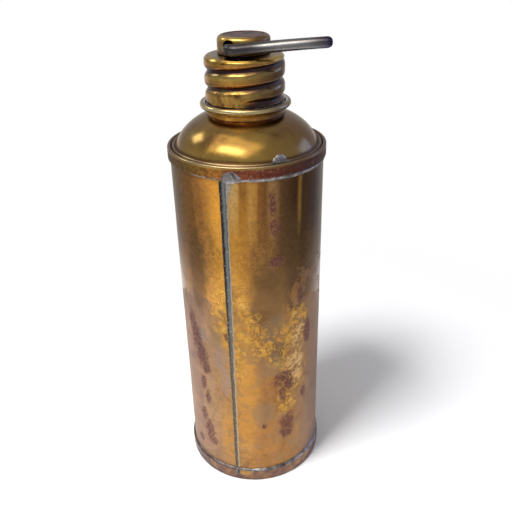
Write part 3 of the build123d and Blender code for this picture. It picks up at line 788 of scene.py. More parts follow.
def seam_material():
    """Seam solder: a painted shadow line at the lapped edge, a grey-green core and a bright toe on the right
    that is partly tinned film and partly painted highlight.
    """
    shader = Shader("seam_solder")
    left = along_seam(shader.height, math.radians(SEAM_LEFT_AT_BOTTOM), math.radians(SEAM_LEFT_AT_TOP))
    right = along_seam(shader.height, math.radians(SEAM_RIGHT_AT_BOTTOM), math.radians(SEAM_RIGHT_AT_TOP))
    wander = (shader.noise(4, 4.0, 0.6) - 0.5) * 0.45
    across = (shader.angle - left) / (right - left) + wander
    # Across the seam: a painted shadow line along the lapped edge, the core, then a bright toe, partly tinned
    # film and partly painted highlight.
    high = across.ramp([
        (0.0, (0.16, 0.085, 0.04)), (0.12, (0.03, 0.022, 0.02)), (0.3, (0.035, 0.035, 0.034)),
        (0.42, (0.14, 0.155, 0.15)), (0.62, (0.22, 0.24, 0.23)), (0.78, (0.11, 0.115, 0.105)),
        (0.91, (0.50, 0.47, 0.42)), (1.0, (0.40, 0.36, 0.32)),
    ])
    low = across.ramp([
        (0.0, (0.36, 0.23, 0.12)), (0.14, (0.16, 0.11, 0.07)), (0.28, (0.09, 0.07, 0.045)),
        (0.45, (0.17, 0.135, 0.09)), (0.62, (0.10, 0.075, 0.05)), (0.82, (0.50, 0.40, 0.27)),
        (1.0, (0.44, 0.25, 0.11)),
    ])
    colour = low.tinted(along_seam(shader.height, 0.0, 1.0).between(0.3, 0.75), high)
    specks = shader.specks(1.4, 0.58, 0.66)
    colour = colour.tinted(specks * 0.4, (0.62, 0.61, 0.60))
    rough = specks.between(0.0, 1.0, 0.42, 0.28)
    return shader.finish(colour, rough, 0.9, [(shader.noise(2.5, 4.0, 0.6), 0.2), (specks, 0.05)])


def stained_joint_material():
    """Old solder gone dark red-brown where the collar meets the dome."""
    shader = Shader("stained_solder")
    cloud = shader.noise(3, 5.0, 0.65)
    colour = cloud.ramp([
        (0.32, (0.02, 0.008, 0.008)), (0.5, (0.07, 0.02, 0.014)), (0.66, (0.17, 0.06, 0.03)),
        (0.8, (0.4, 0.3, 0.2)),
    ])
    rough = cloud.between(0.3, 0.7, 0.5, 0.36)
    return shader.finish(colour, rough, 0.85, [(cloud, 0.15)])


def steel_material():
    """Lever rod: steel with painted shade at the bend, a pale painted highlight streak along the top of the
    arm and a blue-violet painted reflection at the tip.
    """
    shader = Shader("steel")
    reach_x = shader.x / (ROD_TIP * MM)
    cloud = shader.noise(7, 5.0, 0.65, stretch=(3, 1, 1))
    wander = (cloud - 0.5) * 0.3
    # Painted light along the rod: painted shade at the bend, lighter through the middle, a dark blue-violet
    # painted reflection at the tip.
    along = (reach_x + wander).ramp([
        (0.0, (0.08, 0.07, 0.075)), (0.2, (0.13, 0.118, 0.12)), (0.4, (0.26, 0.25, 0.255)),
        (0.7, (0.22, 0.215, 0.225)), (0.88, (0.12, 0.115, 0.135)), (0.97, (0.04, 0.032, 0.08)),
    ])
    rust = shader.specks(4, 0.56, 0.7, 5.0, 0.7)
    colour = along.tinted(rust * 0.4, (0.09, 0.05, 0.035))
    # A pale painted highlight streak along the top of the arm.
    climb = reach_x * (ROD_TIP * math.tan(math.radians(ROD_RISE)))
    over_axis = shader.height - (PIVOT_HEIGHT + 0.2) - climb
    rubbed = over_axis.between(0.9, 1.7) * over_axis.between(2.8, 2.2)
    length = reach_x.between(0.06, 0.3) * reach_x.between(0.9, 0.5)
    rubbed = rubbed * length * cloud.between(0.3, 0.55, 0.5, 1.0)
    colour = colour.tinted(rubbed * 0.75, (0.9, 0.9, 0.92))
    rough = cloud.between(0.3, 0.7, 0.3, 0.2)
    scratches = shader.noise(0.5, 3.0, 0.6, stretch=(12, 1, 1))
    return shader.finish(colour, rough, 1.0, [
        (shader.noise(5, 2.0), 0.06), (scratches, 0.012), (shader.specks(0.8, 0.6, 0.72), -0.02),
    ])


def inner_brass_material():
    """Unpolished brass of the parts inside the cap and neck."""
    shader = Shader("inner_brass")
    cloud = shader.noise(7, 5.0, 0.65, distortion=0.5)
    colour = cloud.ramp([(0.28, DARK), (0.42, BROWN), (0.58, OLIVE), (0.75, (0.5, 0.34, 0.12))])
    verdigris = shader.specks(3.5, 0.6, 0.72, 5.0, 0.7)
    colour = colour.tinted(verdigris * 0.45, (0.12, 0.25, 0.17))
    rough = cloud.between(0.3, 0.7, 0.5, 0.34)
    return shader.finish(colour, rough, 0.95, brass_grain(shader))


def leather_material():
    """Waxed leather sealing ring."""
    shader = Shader("washer_leather")
    cloud = shader.noise(5, 5.0, 0.6)
    colour = cloud.ramp([
        (0.3, (0.05, 0.026, 0.014)), (0.55, (0.15, 0.08, 0.04)), (0.75, (0.26, 0.15, 0.08)),
    ])
    cells = shader.value("ShaderNodeTexVoronoi", {"Vector": shader.place, "Scale": 1 / (0.9 * MM)})
    rough = cloud.between(0.3, 0.7, 0.62, 0.46)
    return shader.finish(colour, rough, 0.0, [(cells, 0.12), (shader.noise(3, 3.0), 0.1)])


BODY_BRASS = body_material()
PAN_BRASS = pan_material()
SHOULDER_BRASS = shoulder_material()
CAP_BRASS = cap_material()
COLLAR_BRASS = collar_material()
BOSS_BRASS = boss_material()
SOLDER = solder_material()
SEAM_SOLDER = seam_material()
STAINED_SOLDER = stained_joint_material()
STEEL = steel_material()
INNER_BRASS = inner_brass_material()
LEATHER = leather_material()


def dress(piece, material):
    piece.data.materials.clear()
    piece.data.materials.append(material)


def stands_for(piece, node, body, material):
    """Puts a piece in the place of a CAD node and dresses it."""
    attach(piece, body)
    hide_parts(node)
    dress(piece, material)


# ---------------------------------------------------------------- body tube and side seam
def seam_edge(height):
    """Angle of the lapped edge at a height."""
    return along_seam(height, SEAM_AT_BOTTOM, SEAM_AT_TOP)


DENTS = [
    (-128, 168, 9, 26, 0.3),
    (-84, 150, 7, 30, 0.22),
    (-58, 105, 12, 20, 0.3),
    (-112, 60, 10, 24, 0.25),
    (20, 90, 14, 22, 0.4),
    (95, 150, 12, 30, 0.35),
    (160, 70, 10, 26, 0.3),
]


def tube_wall(angle, height):
    """Radius of the tube's outer face where the sheet isn't lapped."""
    radius = TUBE_RADIUS + 0.16 * ripple(angle, height, 5, 5, 9) + 0.05 * ripple(angle, height, 6, 14, 40)
    for dent_angle, dent_height, half_angle, half_height, depth in DENTS:
        off = (angle - dent_angle + 180) % 360 - 180
        away = (off / half_angle) ** 2 + ((height - dent_height) / half_height) ** 2
        radius = radius - depth * np.exp(-away)
    calm = smoothstep((height - BASE_SKIRT_TOP) / 12) * smoothstep((SHOULDER_BOTTOM - height) / 10)
    return TUBE_RADIUS + (radius - TUBE_RADIUS) * calm


def lap_rise(behind, height):
    """How far the outer layer stands up, at an angle behind the lapped edge."""
    ends = smoothstep((height - LAP_BOTTOM) / 1.5) * smoothstep((LAP_TOP - height) / 1.5)
    return LAP_RISE * (1 - smoothstep(behind / LAP_SPREAD)) * ends


def make_tube():
    inner = TUBE_RADIUS - SHEET
    outline = joined(
        line((inner, TUBE_BOTTOM), (TUBE_RADIUS, TUBE_BOTTOM), 0.45),
        line((TUBE_RADIUS, TUBE_BOTTOM), (TUBE_RADIUS, TUBE_TOP), 1.3),
        line((TUBE_RADIUS, TUBE_TOP), (inner, TUBE_TOP), 0.45),
        line((inner, TUBE_TOP), (inner, TUBE_BOTTOM), 3.0)[:-1],
    )
    turn = np.concatenate([np.linspace(0, 330, 252, endpoint=False), np.linspace(330, 360, 40)])

    def shape(turn, radius, height):
        angle = seam_edge(height) + turn
        wall = tube_wall(angle, height) + lap_rise(360 - turn, height)
        outside = (radius - inner) / SHEET
        return angle, np.where(outside > 0.99, wall, radius + (wall - TUBE_RADIUS) * 0.6), height

    return turned("tube_sheet", outline, shape, angles=turn)


def make_seam():
    """Solder along the lapped edge: a fillet at its foot, and a skin spread back on to the outer layer."""
    heights = np.linspace(LAP_BOTTOM, LAP_TOP, 300)
    across, height = np.meshgrid(np.linspace(0, 1, 21), heights)
    left = along_seam(height, SEAM_LEFT_AT_BOTTOM, SEAM_LEFT_AT_TOP)
    left = left + 0.35 * ripple(0 * height, height, 12, 1, 110, 9)
    right = along_seam(height, SEAM_RIGHT_AT_BOTTOM, SEAM_RIGHT_AT_TOP)
    right = right + 0.5 * ripple(0 * height, height, 11, 1, 70, 12)
    right = right + 2.6 * smoothstep((height - LAP_TOP + 16) / 16) ** 2
    angle = left + across * (right - left)
    wall = tube_wall(angle, height)
    edge = seam_edge(height)
    toe = smoothstep((angle - edge) / (right - edge))
    swell = np.sin(math.pi * across) ** 0.7
    lump = 0.12 * ripple(angle * 8, height, 13, 6, 220, 14)
    crest = wall + LAP_RISE * (1 - toe) + 0.03 + (0.22 + lump) * swell
    root = wall - 0.35
    return pad("seam_fillet", around_axis(crest, angle, height), around_axis(root, angle, height))


def on_cylinder(radius, angle, height):
    """Places (across, up, lift) on an upright wall."""

    def surface(across, up, lift):
        return around_axis(radius + lift, angle + np.degrees(across / radius), height + up)

    return surface


# ---------------------------------------------------------------- base
def make_pan():
    dish = BASE + 2.4
    outline = joined(
        (0, dish),
        line((3.0, dish), (31.5, dish), 2.6),
        curve([(32.5, dish), (34.2, dish - 0.1), (35.6, BASE + 1.1), (37.0, BASE + 0.05)], 5),
        line((37.4, BASE), (SKIRT_OUTER - 0.9, BASE), 1.2),
        arc((SKIRT_OUTER - 0.8, BASE + 0.8), 0.8, -90, 0, 8),
        line((SKIRT_OUTER, BASE + 0.9), (SKIRT_OUTER, BASE_SKIRT_TOP - 0.3), 0.7),
        arc((SKIRT_OUTER - 0.25, BASE_SKIRT_TOP - 0.25), 0.25, 0, 90, 4),
        line((SKIRT_OUTER - 0.3, BASE_SKIRT_TOP), (SKIRT_INNER, BASE_SKIRT_TOP), 0.3),
        line((SKIRT_INNER, BASE_SKIRT_TOP - 0.3), (SKIRT_INNER, BASE + 1.6), 1.5),
        line((SKIRT_INNER, BASE + SHEET), (37.6, BASE + SHEET), 1.5),
        line((34.3, dish + SHEET), (3.0, dish + SHEET), 3.0),
        (0, dish + SHEET),
    )

    def shape(angle, radius, height):
        skirt = smoothstep((height - BASE - 4) / 3) * (radius > SKIRT_INNER - 0.5)
        height = height + skirt * (0.28 * ripple(angle, height * 0, 21, 9, 1) - 0.05)
        wave = smoothstep((height - BASE) / 2) * (radius > SKIRT_INNER - 0.5)
        return angle, radius + 0.07 * wave * ripple(angle, height, 22, 7, 60), height

    return turned("base_pan_sheet", outline, shape, solid=True)


def solder_ring(name, outline, seed, thin, thick):
    """A ring of solder whose bulk changes round the joint, thin in places and thick in others."""
    anchor = outline[0]

    def shape(angle, radius, height):
        bulk = 0.5 + 0.5 * ripple(angle, 0 * height, seed, 11, 1, 9)
        right = (0.5 + 0.5 * np.cos(np.radians(angle + 60))) ** 3
        amount = thin + (thick - thin) * np.clip(0.35 * bulk + 0.75 * right, 0, 1)
        amount = amount + 0.12 * ripple(angle, 0 * height, seed + 1, 60, 1, 14)
        amount = np.clip(amount, 0.05, 2)
        return angle, anchor[0] + (radius - anchor[0]) * amount, anchor[1] + (height - anchor[1]) * amount

    return turned(name, outline, shape, columns=480)


# ---------------------------------------------------------------- shoulder
def dome_height(radius):
    """Height of the dome's face at a distance from the axis."""
    return DOME_CENTRE + DOME_HEIGHT * np.sqrt(1 - (radius / DOME_RADIUS) ** 2)


def dome_curve(foot, neck, shrink, steps):
    """The dome's profile from its foot to the neck."""
    across, up = DOME_RADIUS - shrink, DOME_HEIGHT - shrink
    turn = np.linspace(math.acos(foot / across), math.acos(neck / across), steps)
    return np.column_stack([across * np.cos(turn), DOME_CENTRE + up * np.sin(turn)])


FOOT_RADIUS = DOME_RADIUS * math.sqrt(1 - ((DOME_FOOT - DOME_CENTRE) / DOME_HEIGHT) ** 2)


def make_shoulder():
    neck = NECK_RADIUS + 0.35
    ridge = (SKIRT_OUTER - 1.0, RIDGE_TOP - 1.0)
    outline = joined(
        arc((SKIRT_OUTER - 0.3, SHOULDER_BOTTOM + 0.3), 0.3, -90, 0, 4),
        line((SKIRT_OUTER, SHOULDER_BOTTOM + 0.6), (SKIRT_OUTER, RIDGE_TOP - 1.2), 0.6),
        arc(ridge, 1.0, 0, 150, 12),
        curve([
            (SKIRT_OUTER - 2.05, RIDGE_TOP - 0.95), (SKIRT_OUTER - 2.5, RIDGE_TOP - 0.35),
            (SKIRT_OUTER - 3.0, RIDGE_TOP + 0.2), (SKIRT_OUTER - 3.6, RIDGE_TOP + 0.15),
            (FOOT_RADIUS + 0.35, DOME_FOOT + 0.1), (FOOT_RADIUS - 0.05, DOME_FOOT + 0.4),
        ], 5),
        dome_curve(FOOT_RADIUS - 0.3, neck, 0.0, 46),
        dome_curve(FOOT_RADIUS - 1.0, neck, SHEET, 24)[::-1],
        line((FOOT_RADIUS - 0.4, DOME_FOOT - 1.3), (SKIRT_INNER - 0.9, DOME_FOOT - 1.3), 1.0),
        line((SKIRT_INNER, RIDGE_TOP - 2.4), (SKIRT_INNER, SHOULDER_BOTTOM + 0.1), 1.2),
    )

    def shape(angle, radius, height):
        skirt = radius > SKIRT_INNER - 0.3
        low = smoothstep((SHOULDER_BOTTOM + 3 - height) / 3) * skirt
        height = height + low * (0.2 * ripple(angle, 0 * height, 31, 9, 1) + 0.05)
        dented = np.where(skirt, 0.06, 0.13) * ripple(angle, height, 32, 6, 30)
        dented = dented * smoothstep((radius - 21.5) / 6)
        return angle, radius + dented, height

    return turned("shoulder_sheet", outline, shape, columns=320)


def on_dome(angle, foot_radius):
    """Places (across, up, lift) on the dome, `up` running from the foot towards the neck."""

    def surface(across, up, lift):
        radius = foot_radius - 0.62 * up
        wall = np.maximum(dome_height(np.minimum(radius, FOOT_RADIUS)), DOME_FOOT + 0.65)
        turn = angle + np.degrees(across / foot_radius)
        return around_axis(radius + 0.75 * lift, turn, wall + 0.65 * lift)

    return surface


# ---------------------------------------------------------------- collar
def make_collar():
    inner = NECK_RADIUS + 0.04
    roll = 1.6
    middle = (COLLAR_RADIUS - roll, COLLAR_TOP - roll)
    outline = joined(
        (inner, COLLAR_FOOT + 0.25),
        (inner + 0.75, COLLAR_FOOT),
        curve([
            (inner + 0.85, COLLAR_FOOT + 0.1), (inner + 1.15, COLLAR_FOOT + 2.2),
            (inner + 1.6, COLLAR_TOP - 3.0),
        ], 8),
        (middle[0] - 0.75, middle[1] - 1.05),
        arc(middle, roll, -110, 160, 34),
        (inner + 0.9, middle[1] - 0.6),
        (inner, middle[1] - 2.0),
        (inner, COLLAR_FOOT + 1.2),
    )

    def shape(angle, radius, height):
        bead = smoothstep((radius - inner - 0.9) / 1.2)
        radius = radius + bead * 0.1 * ripple(angle, height, 41, 8, 1)
        return angle, radius, height + bead * 0.12 * ripple(angle, 0 * height, 42, 5, 1)

    return turned("collar_sheet", outline, shape, columns=320)


# ---------------------------------------------------------------- cap
def thread_depth(angle, height):
    """How deep the rolled thread is at a place on the cap's skirt."""
    depth = np.zeros(np.broadcast(angle, height).shape)
    for turn in range(4):
        wound = angle + 360 * turn
        fade = smoothstep((wound - THREAD_START) / THREAD_FADE)
        fade = fade * smoothstep((THREAD_END - wound) / THREAD_FADE)
        lead_in = 2.2 * (1 - smoothstep((wound - THREAD_START) / 100))
        away = height - (THREAD_HEIGHT + PITCH * wound / 360 + lead_in)
        depth = np.maximum(depth, fade * np.exp(-((away / (GROOVE_WIDTH * (0.55 + 0.45 * fade))) ** 2)))
    return GROOVE_DEPTH * depth


def make_cap():
    edge = CAP_TOP - 0.3 - CAP_ROUND
    ceiling = CAP_TOP - 1.1
    inside = CAP_RADIUS - CAP_SHEET
    hollow_round = CAP_ROUND - CAP_SHEET
    hole = SPIGOT_RADIUS + 0.03
    outline = joined(
        arc((CAP_RADIUS - 0.3, CAP_BOTTOM + 0.3), 0.3, -90, 0, 4),
        line((CAP_RADIUS, CAP_BOTTOM + 0.5), (CAP_RADIUS, edge), 0.34),
        arc((CAP_RADIUS - CAP_ROUND, edge), CAP_ROUND, 0, 86, 14),
        line((CAP_RADIUS - CAP_ROUND, CAP_TOP - 0.3), (BOSS_RADIUS, CAP_TOP), 0.35),
        line((BOSS_RADIUS, CAP_TOP), (hole, CAP_TOP), 2.0),
        line((hole, ceiling), (inside - hollow_round, ceiling), 2.0),
        arc((inside - hollow_round, ceiling - hollow_round), hollow_round, 90, 0, 6),
        line((inside, ceiling - hollow_round - 0.4), (inside, CAP_BOTTOM + 0.2), 0.5),
        (inside + 0.2, CAP_BOTTOM),
    )

    def shape(angle, radius, height):
        wall = smoothstep((radius - CAP_RADIUS + 2.6) / 2.2)
        rolled = thread_depth(angle, height) * wall
        uneven = 0.07 * ripple(angle, height, 51, 9, 90) * wall
        rings = 0.035 * np.cos((radius - 14.5) * 2 * math.pi / 1.3) * (radius > BOSS_RADIUS) * (1 - wall)
        top = height > CAP_TOP - 0.6
        return angle, radius - rolled + np.minimum(uneven - 0.05, 0), height + np.where(top, rings - 0.035, 0)

    return turned("cap_shell", outline, shape, columns=400)


# ---------------------------------------------------------------- boss and lever
def bore(radius, height, outwards):
    """A round cutter from the boss's middle outwards, flared where it leaves the face."""
    end = BOSS_RADIUS + 2.0
    profile = joined(
        (0, -0.4), (radius, -0.4), line((radius, 0), (radius, BOSS_RADIUS - 1.3), 1.5),
        curve([
            (radius, BOSS_RADIUS - 1.2), (radius + 0.12, BOSS_RADIUS - 0.5),
            (radius + 0.5, BOSS_RADIUS + 0.3),
        ], 5),
        (radius + 0.6, end), (0, end),
    )
    cutter = turned("bore", profile, columns=72, solid=True)
    turn = Matrix.Rotation(math.radians(HOLE_ANGLE + (0 if outwards else 180)), 4, "Z")
    lay = Matrix.Rotation(math.radians(90), 4, "Y")
    cutter.data.transform(Matrix.Translation((0, 0, height * MM)) @ turn @ lay)
    return cutter


def make_boss():
    recess = BOSS_RADIUS - BOSS_ROUND - 0.9
    outline = joined(
        (0, SPIGOT_BOTTOM),
        (SPIGOT_RADIUS - 0.4, SPIGOT_BOTTOM),
        line((SPIGOT_RADIUS, SPIGOT_BOTTOM + 0.4), (SPIGOT_RADIUS, BOSS_FOOT), 1.0),
        line((SPIGOT_RADIUS, BOSS_FOOT), (BOSS_RADIUS - 0.25, BOSS_FOOT), 1.2),
        line((BOSS_RADIUS, BOSS_FOOT + 0.25), (BOSS_RADIUS, BOSS_TOP - BOSS_ROUND), 0.6),
        arc((BOSS_RADIUS - BOSS_ROUND, BOSS_TOP - BOSS_ROUND), BOSS_ROUND, 0, 90, 14),
        line((BOSS_RADIUS - BOSS_ROUND, BOSS_TOP), (recess + 0.2, BOSS_TOP), 0.3),
        line((recess, BOSS_TOP - 0.25), (0, BOSS_TOP - 0.3), 0.5),
    )

    def shape(angle, radius, height):
        top = smoothstep((height - BOSS_TOP + 0.6) / 0.3)
        height = height + top * (0.03 * np.cos(radius * 2 * math.pi / 1.9) - 0.03)
        side = smoothstep((radius - 12) / 1.5)
        return angle, radius + side * np.minimum(0.04 * ripple(angle, height, 61, 7, 80) - 0.02, 0), height

    boss = turned("boss_turning", outline, shape, columns=224, solid=True)
    return bored(boss, [bore(MOUTH_RADIUS, MOUTH_HEIGHT, True), bore(BORE_RADIUS, PIVOT_HEIGHT, False)])


def make_lever():
    """Straight through the boss, round the bend and out to the tip, the arm very slightly bowed."""
    out = np.array([math.cos(math.radians(HOLE_ANGLE)), math.sin(math.radians(HOLE_ANGLE)), 0.0])
    arm = np.array([math.cos(math.radians(ROD_RISE)), 0.0, math.sin(math.radians(ROD_RISE))])
    pivot = np.array([0.0, 0.0, PIVOT_HEIGHT])
    corner = pivot + out * ROD_OFFSET / abs(out[1])
    bend = math.acos(out @ arm)
    leg = ROD_BEND * math.tan(bend / 2)
    start, end = corner - out * leg, corner + arm * leg
    inwards = (end - corner) / leg + (start - corner) / leg
    centre = corner + inwards / np.linalg.norm(inwards) * math.hypot(ROD_BEND, leg)
    turn = np.linspace(0, bend, 26)[:, None]
    from_centre = (start - centre) / ROD_BEND
    round_bend = centre + ROD_BEND * (np.cos(turn) * from_centre + np.sin(turn) * out)
    tail = pivot - out * (BOSS_RADIUS + 0.1)
    tip = corner + arm * ((ROD_TIP - ROD_RADIUS - corner[0]) / arm[0])
    head = np.array([0.0, 0.25, 0.5, 1.1, 1.2])[:, None]
    head_radii = [HEAD_RADIUS - 0.6, HEAD_RADIUS - 0.15, HEAD_RADIUS, HEAD_RADIUS, ROD_RADIUS]
    tail_end = tail - out * 1.2
    leg_points = line(tail + out * 0.05, start, 1.0)[:-1]
    reach_out = line(end, tip, 0.8)[1:]
    along = np.linspace(0, 1, len(reach_out))
    reach_out[:, 2] += ROD_BOW * np.sin(math.pi * along)
    nose = np.linspace(0, 90, 12)[1:]
    cap_points = tip + arm * (0.98 * ROD_RADIUS * np.sin(np.radians(nose)))[:, None]
    path = np.vstack([tail_end + out * head, leg_points, round_bend, reach_out, cap_points])
    thinned = ROD_RADIUS - 0.16 * smoothstep(along)
    nose_radii = thinned[-1] * np.cos(np.radians(nose)) ** 0.7
    radii = np.concatenate([
        head_radii,
        np.full(len(leg_points), ROD_RADIUS),
        ROD_RADIUS + 0.05 * np.sin(np.linspace(0, math.pi, 26)),
        thinned,
        np.maximum(nose_radii, 0.2),
    ])
    return swept("lever_bar", path, radii)


# ---------------------------------------------------------------- put the pieces in place
FLASK, STOPPER = "flask", "stopper"


def solder(piece, node, material=SOLDER):
    stands_for(piece, node, FLASK, material)


stands_for(make_tube(), "body_tube", FLASK, BODY_BRASS)
solder(make_seam(), "side_seam_solder", SEAM_SOLDER)
stands_for(make_pan(), "base_pan", FLASK, PAN_BRASS)
stands_for(make_shoulder(), "shoulder", FLASK, SHOULDER_BRASS)
stands_for(make_collar(), "neck_collar", FLASK, COLLAR_BRASS)
stands_for(make_cap(), "stopper_shell", STOPPER, CAP_BRASS)
stands_for(make_boss(), "stopper_boss", STOPPER, BOSS_BRASS)
stands_for(make_lever(), "lever_rod", "lever", STEEL)

base_ring = joined(
    (TUBE_RADIUS - 0.2, BASE_SKIRT_TOP - 0.4),
    (SKIRT_OUTER - 0.3, BASE_SKIRT_TOP - 0.3),
    curve([
        (SKIRT_OUTER - 0.15, BASE_SKIRT_TOP), (SKIRT_OUTER - 0.5, BASE_SKIRT_TOP + 0.7),
        (TUBE_RADIUS, BASE_SKIRT_TOP + 1.2),
    ], 4),
)
solder(solder_ring("base_ring_solder", base_ring, 71, thin=0.4, thick=1.2), "base_solder_ring")

shoulder_ring = joined(
    (TUBE_RADIUS - 0.2, SHOULDER_BOTTOM + 0.4),
    (SKIRT_OUTER - 0.25, SHOULDER_BOTTOM + 0.3),
    curve([
        (SKIRT_OUTER - 0.1, SHOULDER_BOTTOM), (SKIRT_OUTER - 0.4, SHOULDER_BOTTOM - 0.9),
        (TUBE_RADIUS, SHOULDER_BOTTOM - 1.7),
    ], 4),
)
solder(
    solder_ring("shoulder_ring_solder", shoulder_ring, 73, thin=0.2, thick=1.25), "shoulder_solder_ring"
)

collar_toe = NECK_RADIUS + 0.8
collar_ring = joined(
    (collar_toe - 0.2, COLLAR_FOOT - 0.1),
    (collar_toe + 0.1, COLLAR_FOOT + 0.6),
    (collar_toe + 0.5, dome_height(collar_toe + 0.5) + 0.3),
    (collar_toe + 0.9, dome_height(collar_toe + 0.9) - 0.05),
)
solder(
    solder_ring("collar_ring_solder", collar_ring, 75, thin=0.3, thick=0.65),
    "collar_solder_ring", STAINED_SOLDER,
)

lip_ring = joined(
    (NECK_RADIUS + 0.05, COLLAR_TOP - 3.2),
    (NECK_RADIUS + 1.0, COLLAR_TOP - 2.0),
    (NECK_RADIUS + 1.1, COLLAR_TOP - 0.35),
    (NECK_RADIUS + 0.6, COLLAR_TOP - 0.15),
    (NECK_RADIUS + 0.05, COLLAR_TOP - 0.1),
)
solder(solder_ring("lip_ring_solder", lip_ring, 77, thin=0.85, thick=1.03), "lip_solder_ring")

for name, node, surface, half_width, half_height, thickness, seed, taper in [
    (
        "seam_head_drop", "seam_top_solder", on_cylinder(SKIRT_OUTER, -101.2, SHOULDER_BOTTOM + 0.9),
        6.2, 3.2, 0.55, 81, 0.25,
    ),
    (
        "seam_foot_drop", "seam_foot_solder", on_cylinder(SKIRT_OUTER, -106.0, BASE_SKIRT_TOP - 1.3),
        1.9, 1.8, 0.5, 83, 0.2,
    ),
    ("shoulder_drop", "shoulder_solder_patch", on_dome(-66.0, 39.5), 7.8, 4.3, 0.5, 85, 0.55),
]:
    solder(drop(name, surface, half_width, half_height, thickness, seed, taper), node)

for node, slot, material in [
    ("lip_wire", "steel", STEEL),
    ("neck_sleeve", "cap_brass", INNER_BRASS),
    ("neck_solder_ring", "solder", SOLDER),
    ("sealing_washer", "washer_leather", LEATHER),
    ("washer_carrier", "cap_brass", INNER_BRASS),
    ("backing_washer", "cap_brass", INNER_BRASS),
    ("spigot_nut", "cap_brass", INNER_BRASS),
]:
    dress(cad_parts[node], material)


# ---------------------------------------------------------------- floor
def make_floor():
    """A pale sheet under the bottle that fades to the white background far away."""
    middle, radius, sides = (0.0, 0.36), 0.66, 128
    points = [(middle[0], middle[1], 0.0)]
    for turn in np.linspace(0, 2 * math.pi, sides, endpoint=False):
        points.append((middle[0] + radius * math.cos(turn), middle[1] + radius * math.sin(turn), 0.0))
    mesh = bpy.data.meshes.new("floor")
    mesh.from_pydata(points, [], [(0, 1 + s, 1 + (s + 1) % sides) for s in range(sides)])
    floor = bpy.data.objects.new("floor", mesh)
    bpy.context.scene.collection.objects.link(floor)
    paper = bpy.data.materials.new("paper")
    nodes = Nodes(paper)
    looks = {"Base Color": (0.92, 0.92, 0.93), "Roughness": 0.9, "Specular IOR Level": 0.1}
    surface = nodes.value("ShaderNodeBsdfPrincipled", looks)
    away = nodes.value("ShaderNodeVectorMath", {0: nodes.place}, "Value", operation="LENGTH")
    camera_ray = nodes.value("ShaderNodeLightPath", output="Is Camera Ray")
    glow = nodes.value("ShaderNodeMapRange", {0: camera_ray, 3: 0.4})
    white = nodes.value("ShaderNodeEmission", {"Strength": glow})
    blend = nodes.value("ShaderNodeMixShader", {0: away.between(0.19, 0.36), 1: surface, 2: white})
    nodes.node("ShaderNodeOutputMaterial", {"Surface": blend})
    mesh.materials.append(paper)


make_floor()


# ---------------------------------------------------------------- light
def soft_light(name, azimuth, elevation, distance, size, level, colour, diffuse=True, glossy=True):
    """A soft box that faces the middle of the bottle, at an angle round it and above it."""
    target = Vector((0, 0, 0.14))
    flat = math.cos(math.radians(elevation))
    turn = math.radians(azimuth)
    towards = Vector((math.cos(turn) * flat, math.sin(turn) * flat, math.sin(math.radians(elevation))))
    data = bpy.data.lights.new(name, "AREA")
    data.shape = "RECTANGLE"
    data.size, data.size_y = size
    data.energy = level * math.pi * size[0] * size[1]
    data.color = colour
    light = bpy.data.objects.new(name, data)
    light.location = target + towards * distance
    light.rotation_euler = (-towards).to_track_quat("-Z", "Y").to_euler()
    light.visible_camera = False
    light.visible_diffuse = diffuse
    light.visible_glossy = glossy
    bpy.context.scene.collection.objects.link(light)


soft_light("key", -142, 62.5, 1.1, (0.32, 0.32), 46.0, (1.0, 1.0, 1.0), glossy=False)
soft_light("front_card", -127, 58, 1.0, (0.6, 0.24), 4.5, (0.86, 1.0, 0.92), diffuse=False)
soft_light("front_glow", -128, 66, 1.05, (1.15, 0.75), 1.25, (1.0, 0.86, 0.68), diffuse=False)
soft_light("left_card", 150, 39, 1.0, (0.22, 0.22), 3.8, (0.94, 1.0, 0.96), diffuse=False)
soft_light("window", 18, 17, 1.0, (0.46, 0.4), 2.4, (0.16, 0.34, 1.0), diffuse=False)


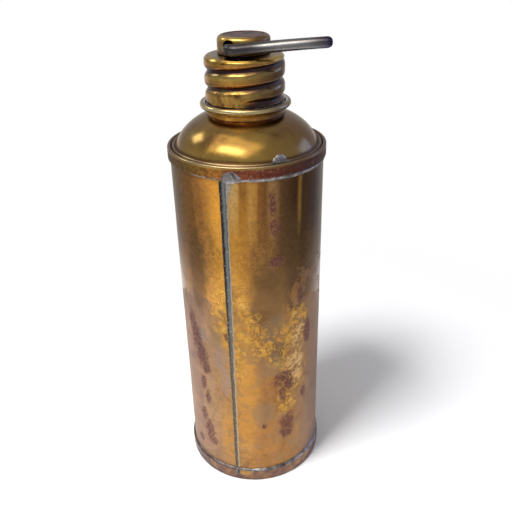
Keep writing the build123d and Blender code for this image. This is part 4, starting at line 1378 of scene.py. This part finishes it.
# Brightness of the room at angles round the object, below the level of the table
ROOM = [
    (-180, 0.45), (-165, 0.6), (-150, 0.9), (-136, 0.95), (-122, 0.6), (-60, 0.54), (-30, 0.4), (0, 0.3),
    (40, 0.35), (90, 0.9), (130, 0.8), (180, 0.45),
]


def make_world():
    """White behind the object, and a grey room round it."""
    world = bpy.data.worlds.new("room")
    nodes = Nodes(world, "Generated")
    share = nodes.value("ShaderNodeMapRange", {0: nodes.angle, 1: -math.pi, 2: math.pi})
    below = share.ramp([((angle + 180) / 360, (level, level * 0.96, level * 0.9)) for angle, level in ROOM])
    room = below.tinted(nodes.z.between(-0.08, 0.08), (0.44, 0.44, 0.45))
    seen = room.tinted(nodes.value("ShaderNodeLightPath", output="Is Camera Ray"), (1.0, 1.0, 1.0))
    background = nodes.value("ShaderNodeBackground", {"Color": seen})
    nodes.node("ShaderNodeOutputWorld", {"Surface": background})
    bpy.context.scene.world = world


make_world()
bpy.context.scene.view_settings.view_transform = "Standard"


# ---------------------------------------------------------------- camera
CAMERA_BACK = 0.3187
CAMERA_UP = 0.3148
CAMERA_YAW = 0.011
CAMERA_PITCH = 0.496
CAMERA_ROLL = -0.025
CAMERA_LENS = 42.33

ahead = Vector((
    math.sin(CAMERA_YAW) * math.cos(CAMERA_PITCH),
    math.cos(CAMERA_YAW) * math.cos(CAMERA_PITCH),
    -math.sin(CAMERA_PITCH),
))
level = ahead.cross(Vector((0, 0, 1))).normalized()
upright = level.cross(ahead)
right = level * math.cos(CAMERA_ROLL) + upright * math.sin(CAMERA_ROLL)
up = upright * math.cos(CAMERA_ROLL) - level * math.sin(CAMERA_ROLL)
camera_data = bpy.data.cameras.new("camera")
camera_data.sensor_width = 36
camera_data.lens = CAMERA_LENS
camera = bpy.data.objects.new("camera", camera_data)
camera.matrix_world = Matrix((
    (right.x, up.x, -ahead.x, 0.0),
    (right.y, up.y, -ahead.y, -CAMERA_BACK),
    (right.z, up.z, -ahead.z, CAMERA_UP),
    (0.0, 0.0, 0.0, 1.0),
))
bpy.context.scene.collection.objects.link(camera)
bpy.context.scene.camera = camera
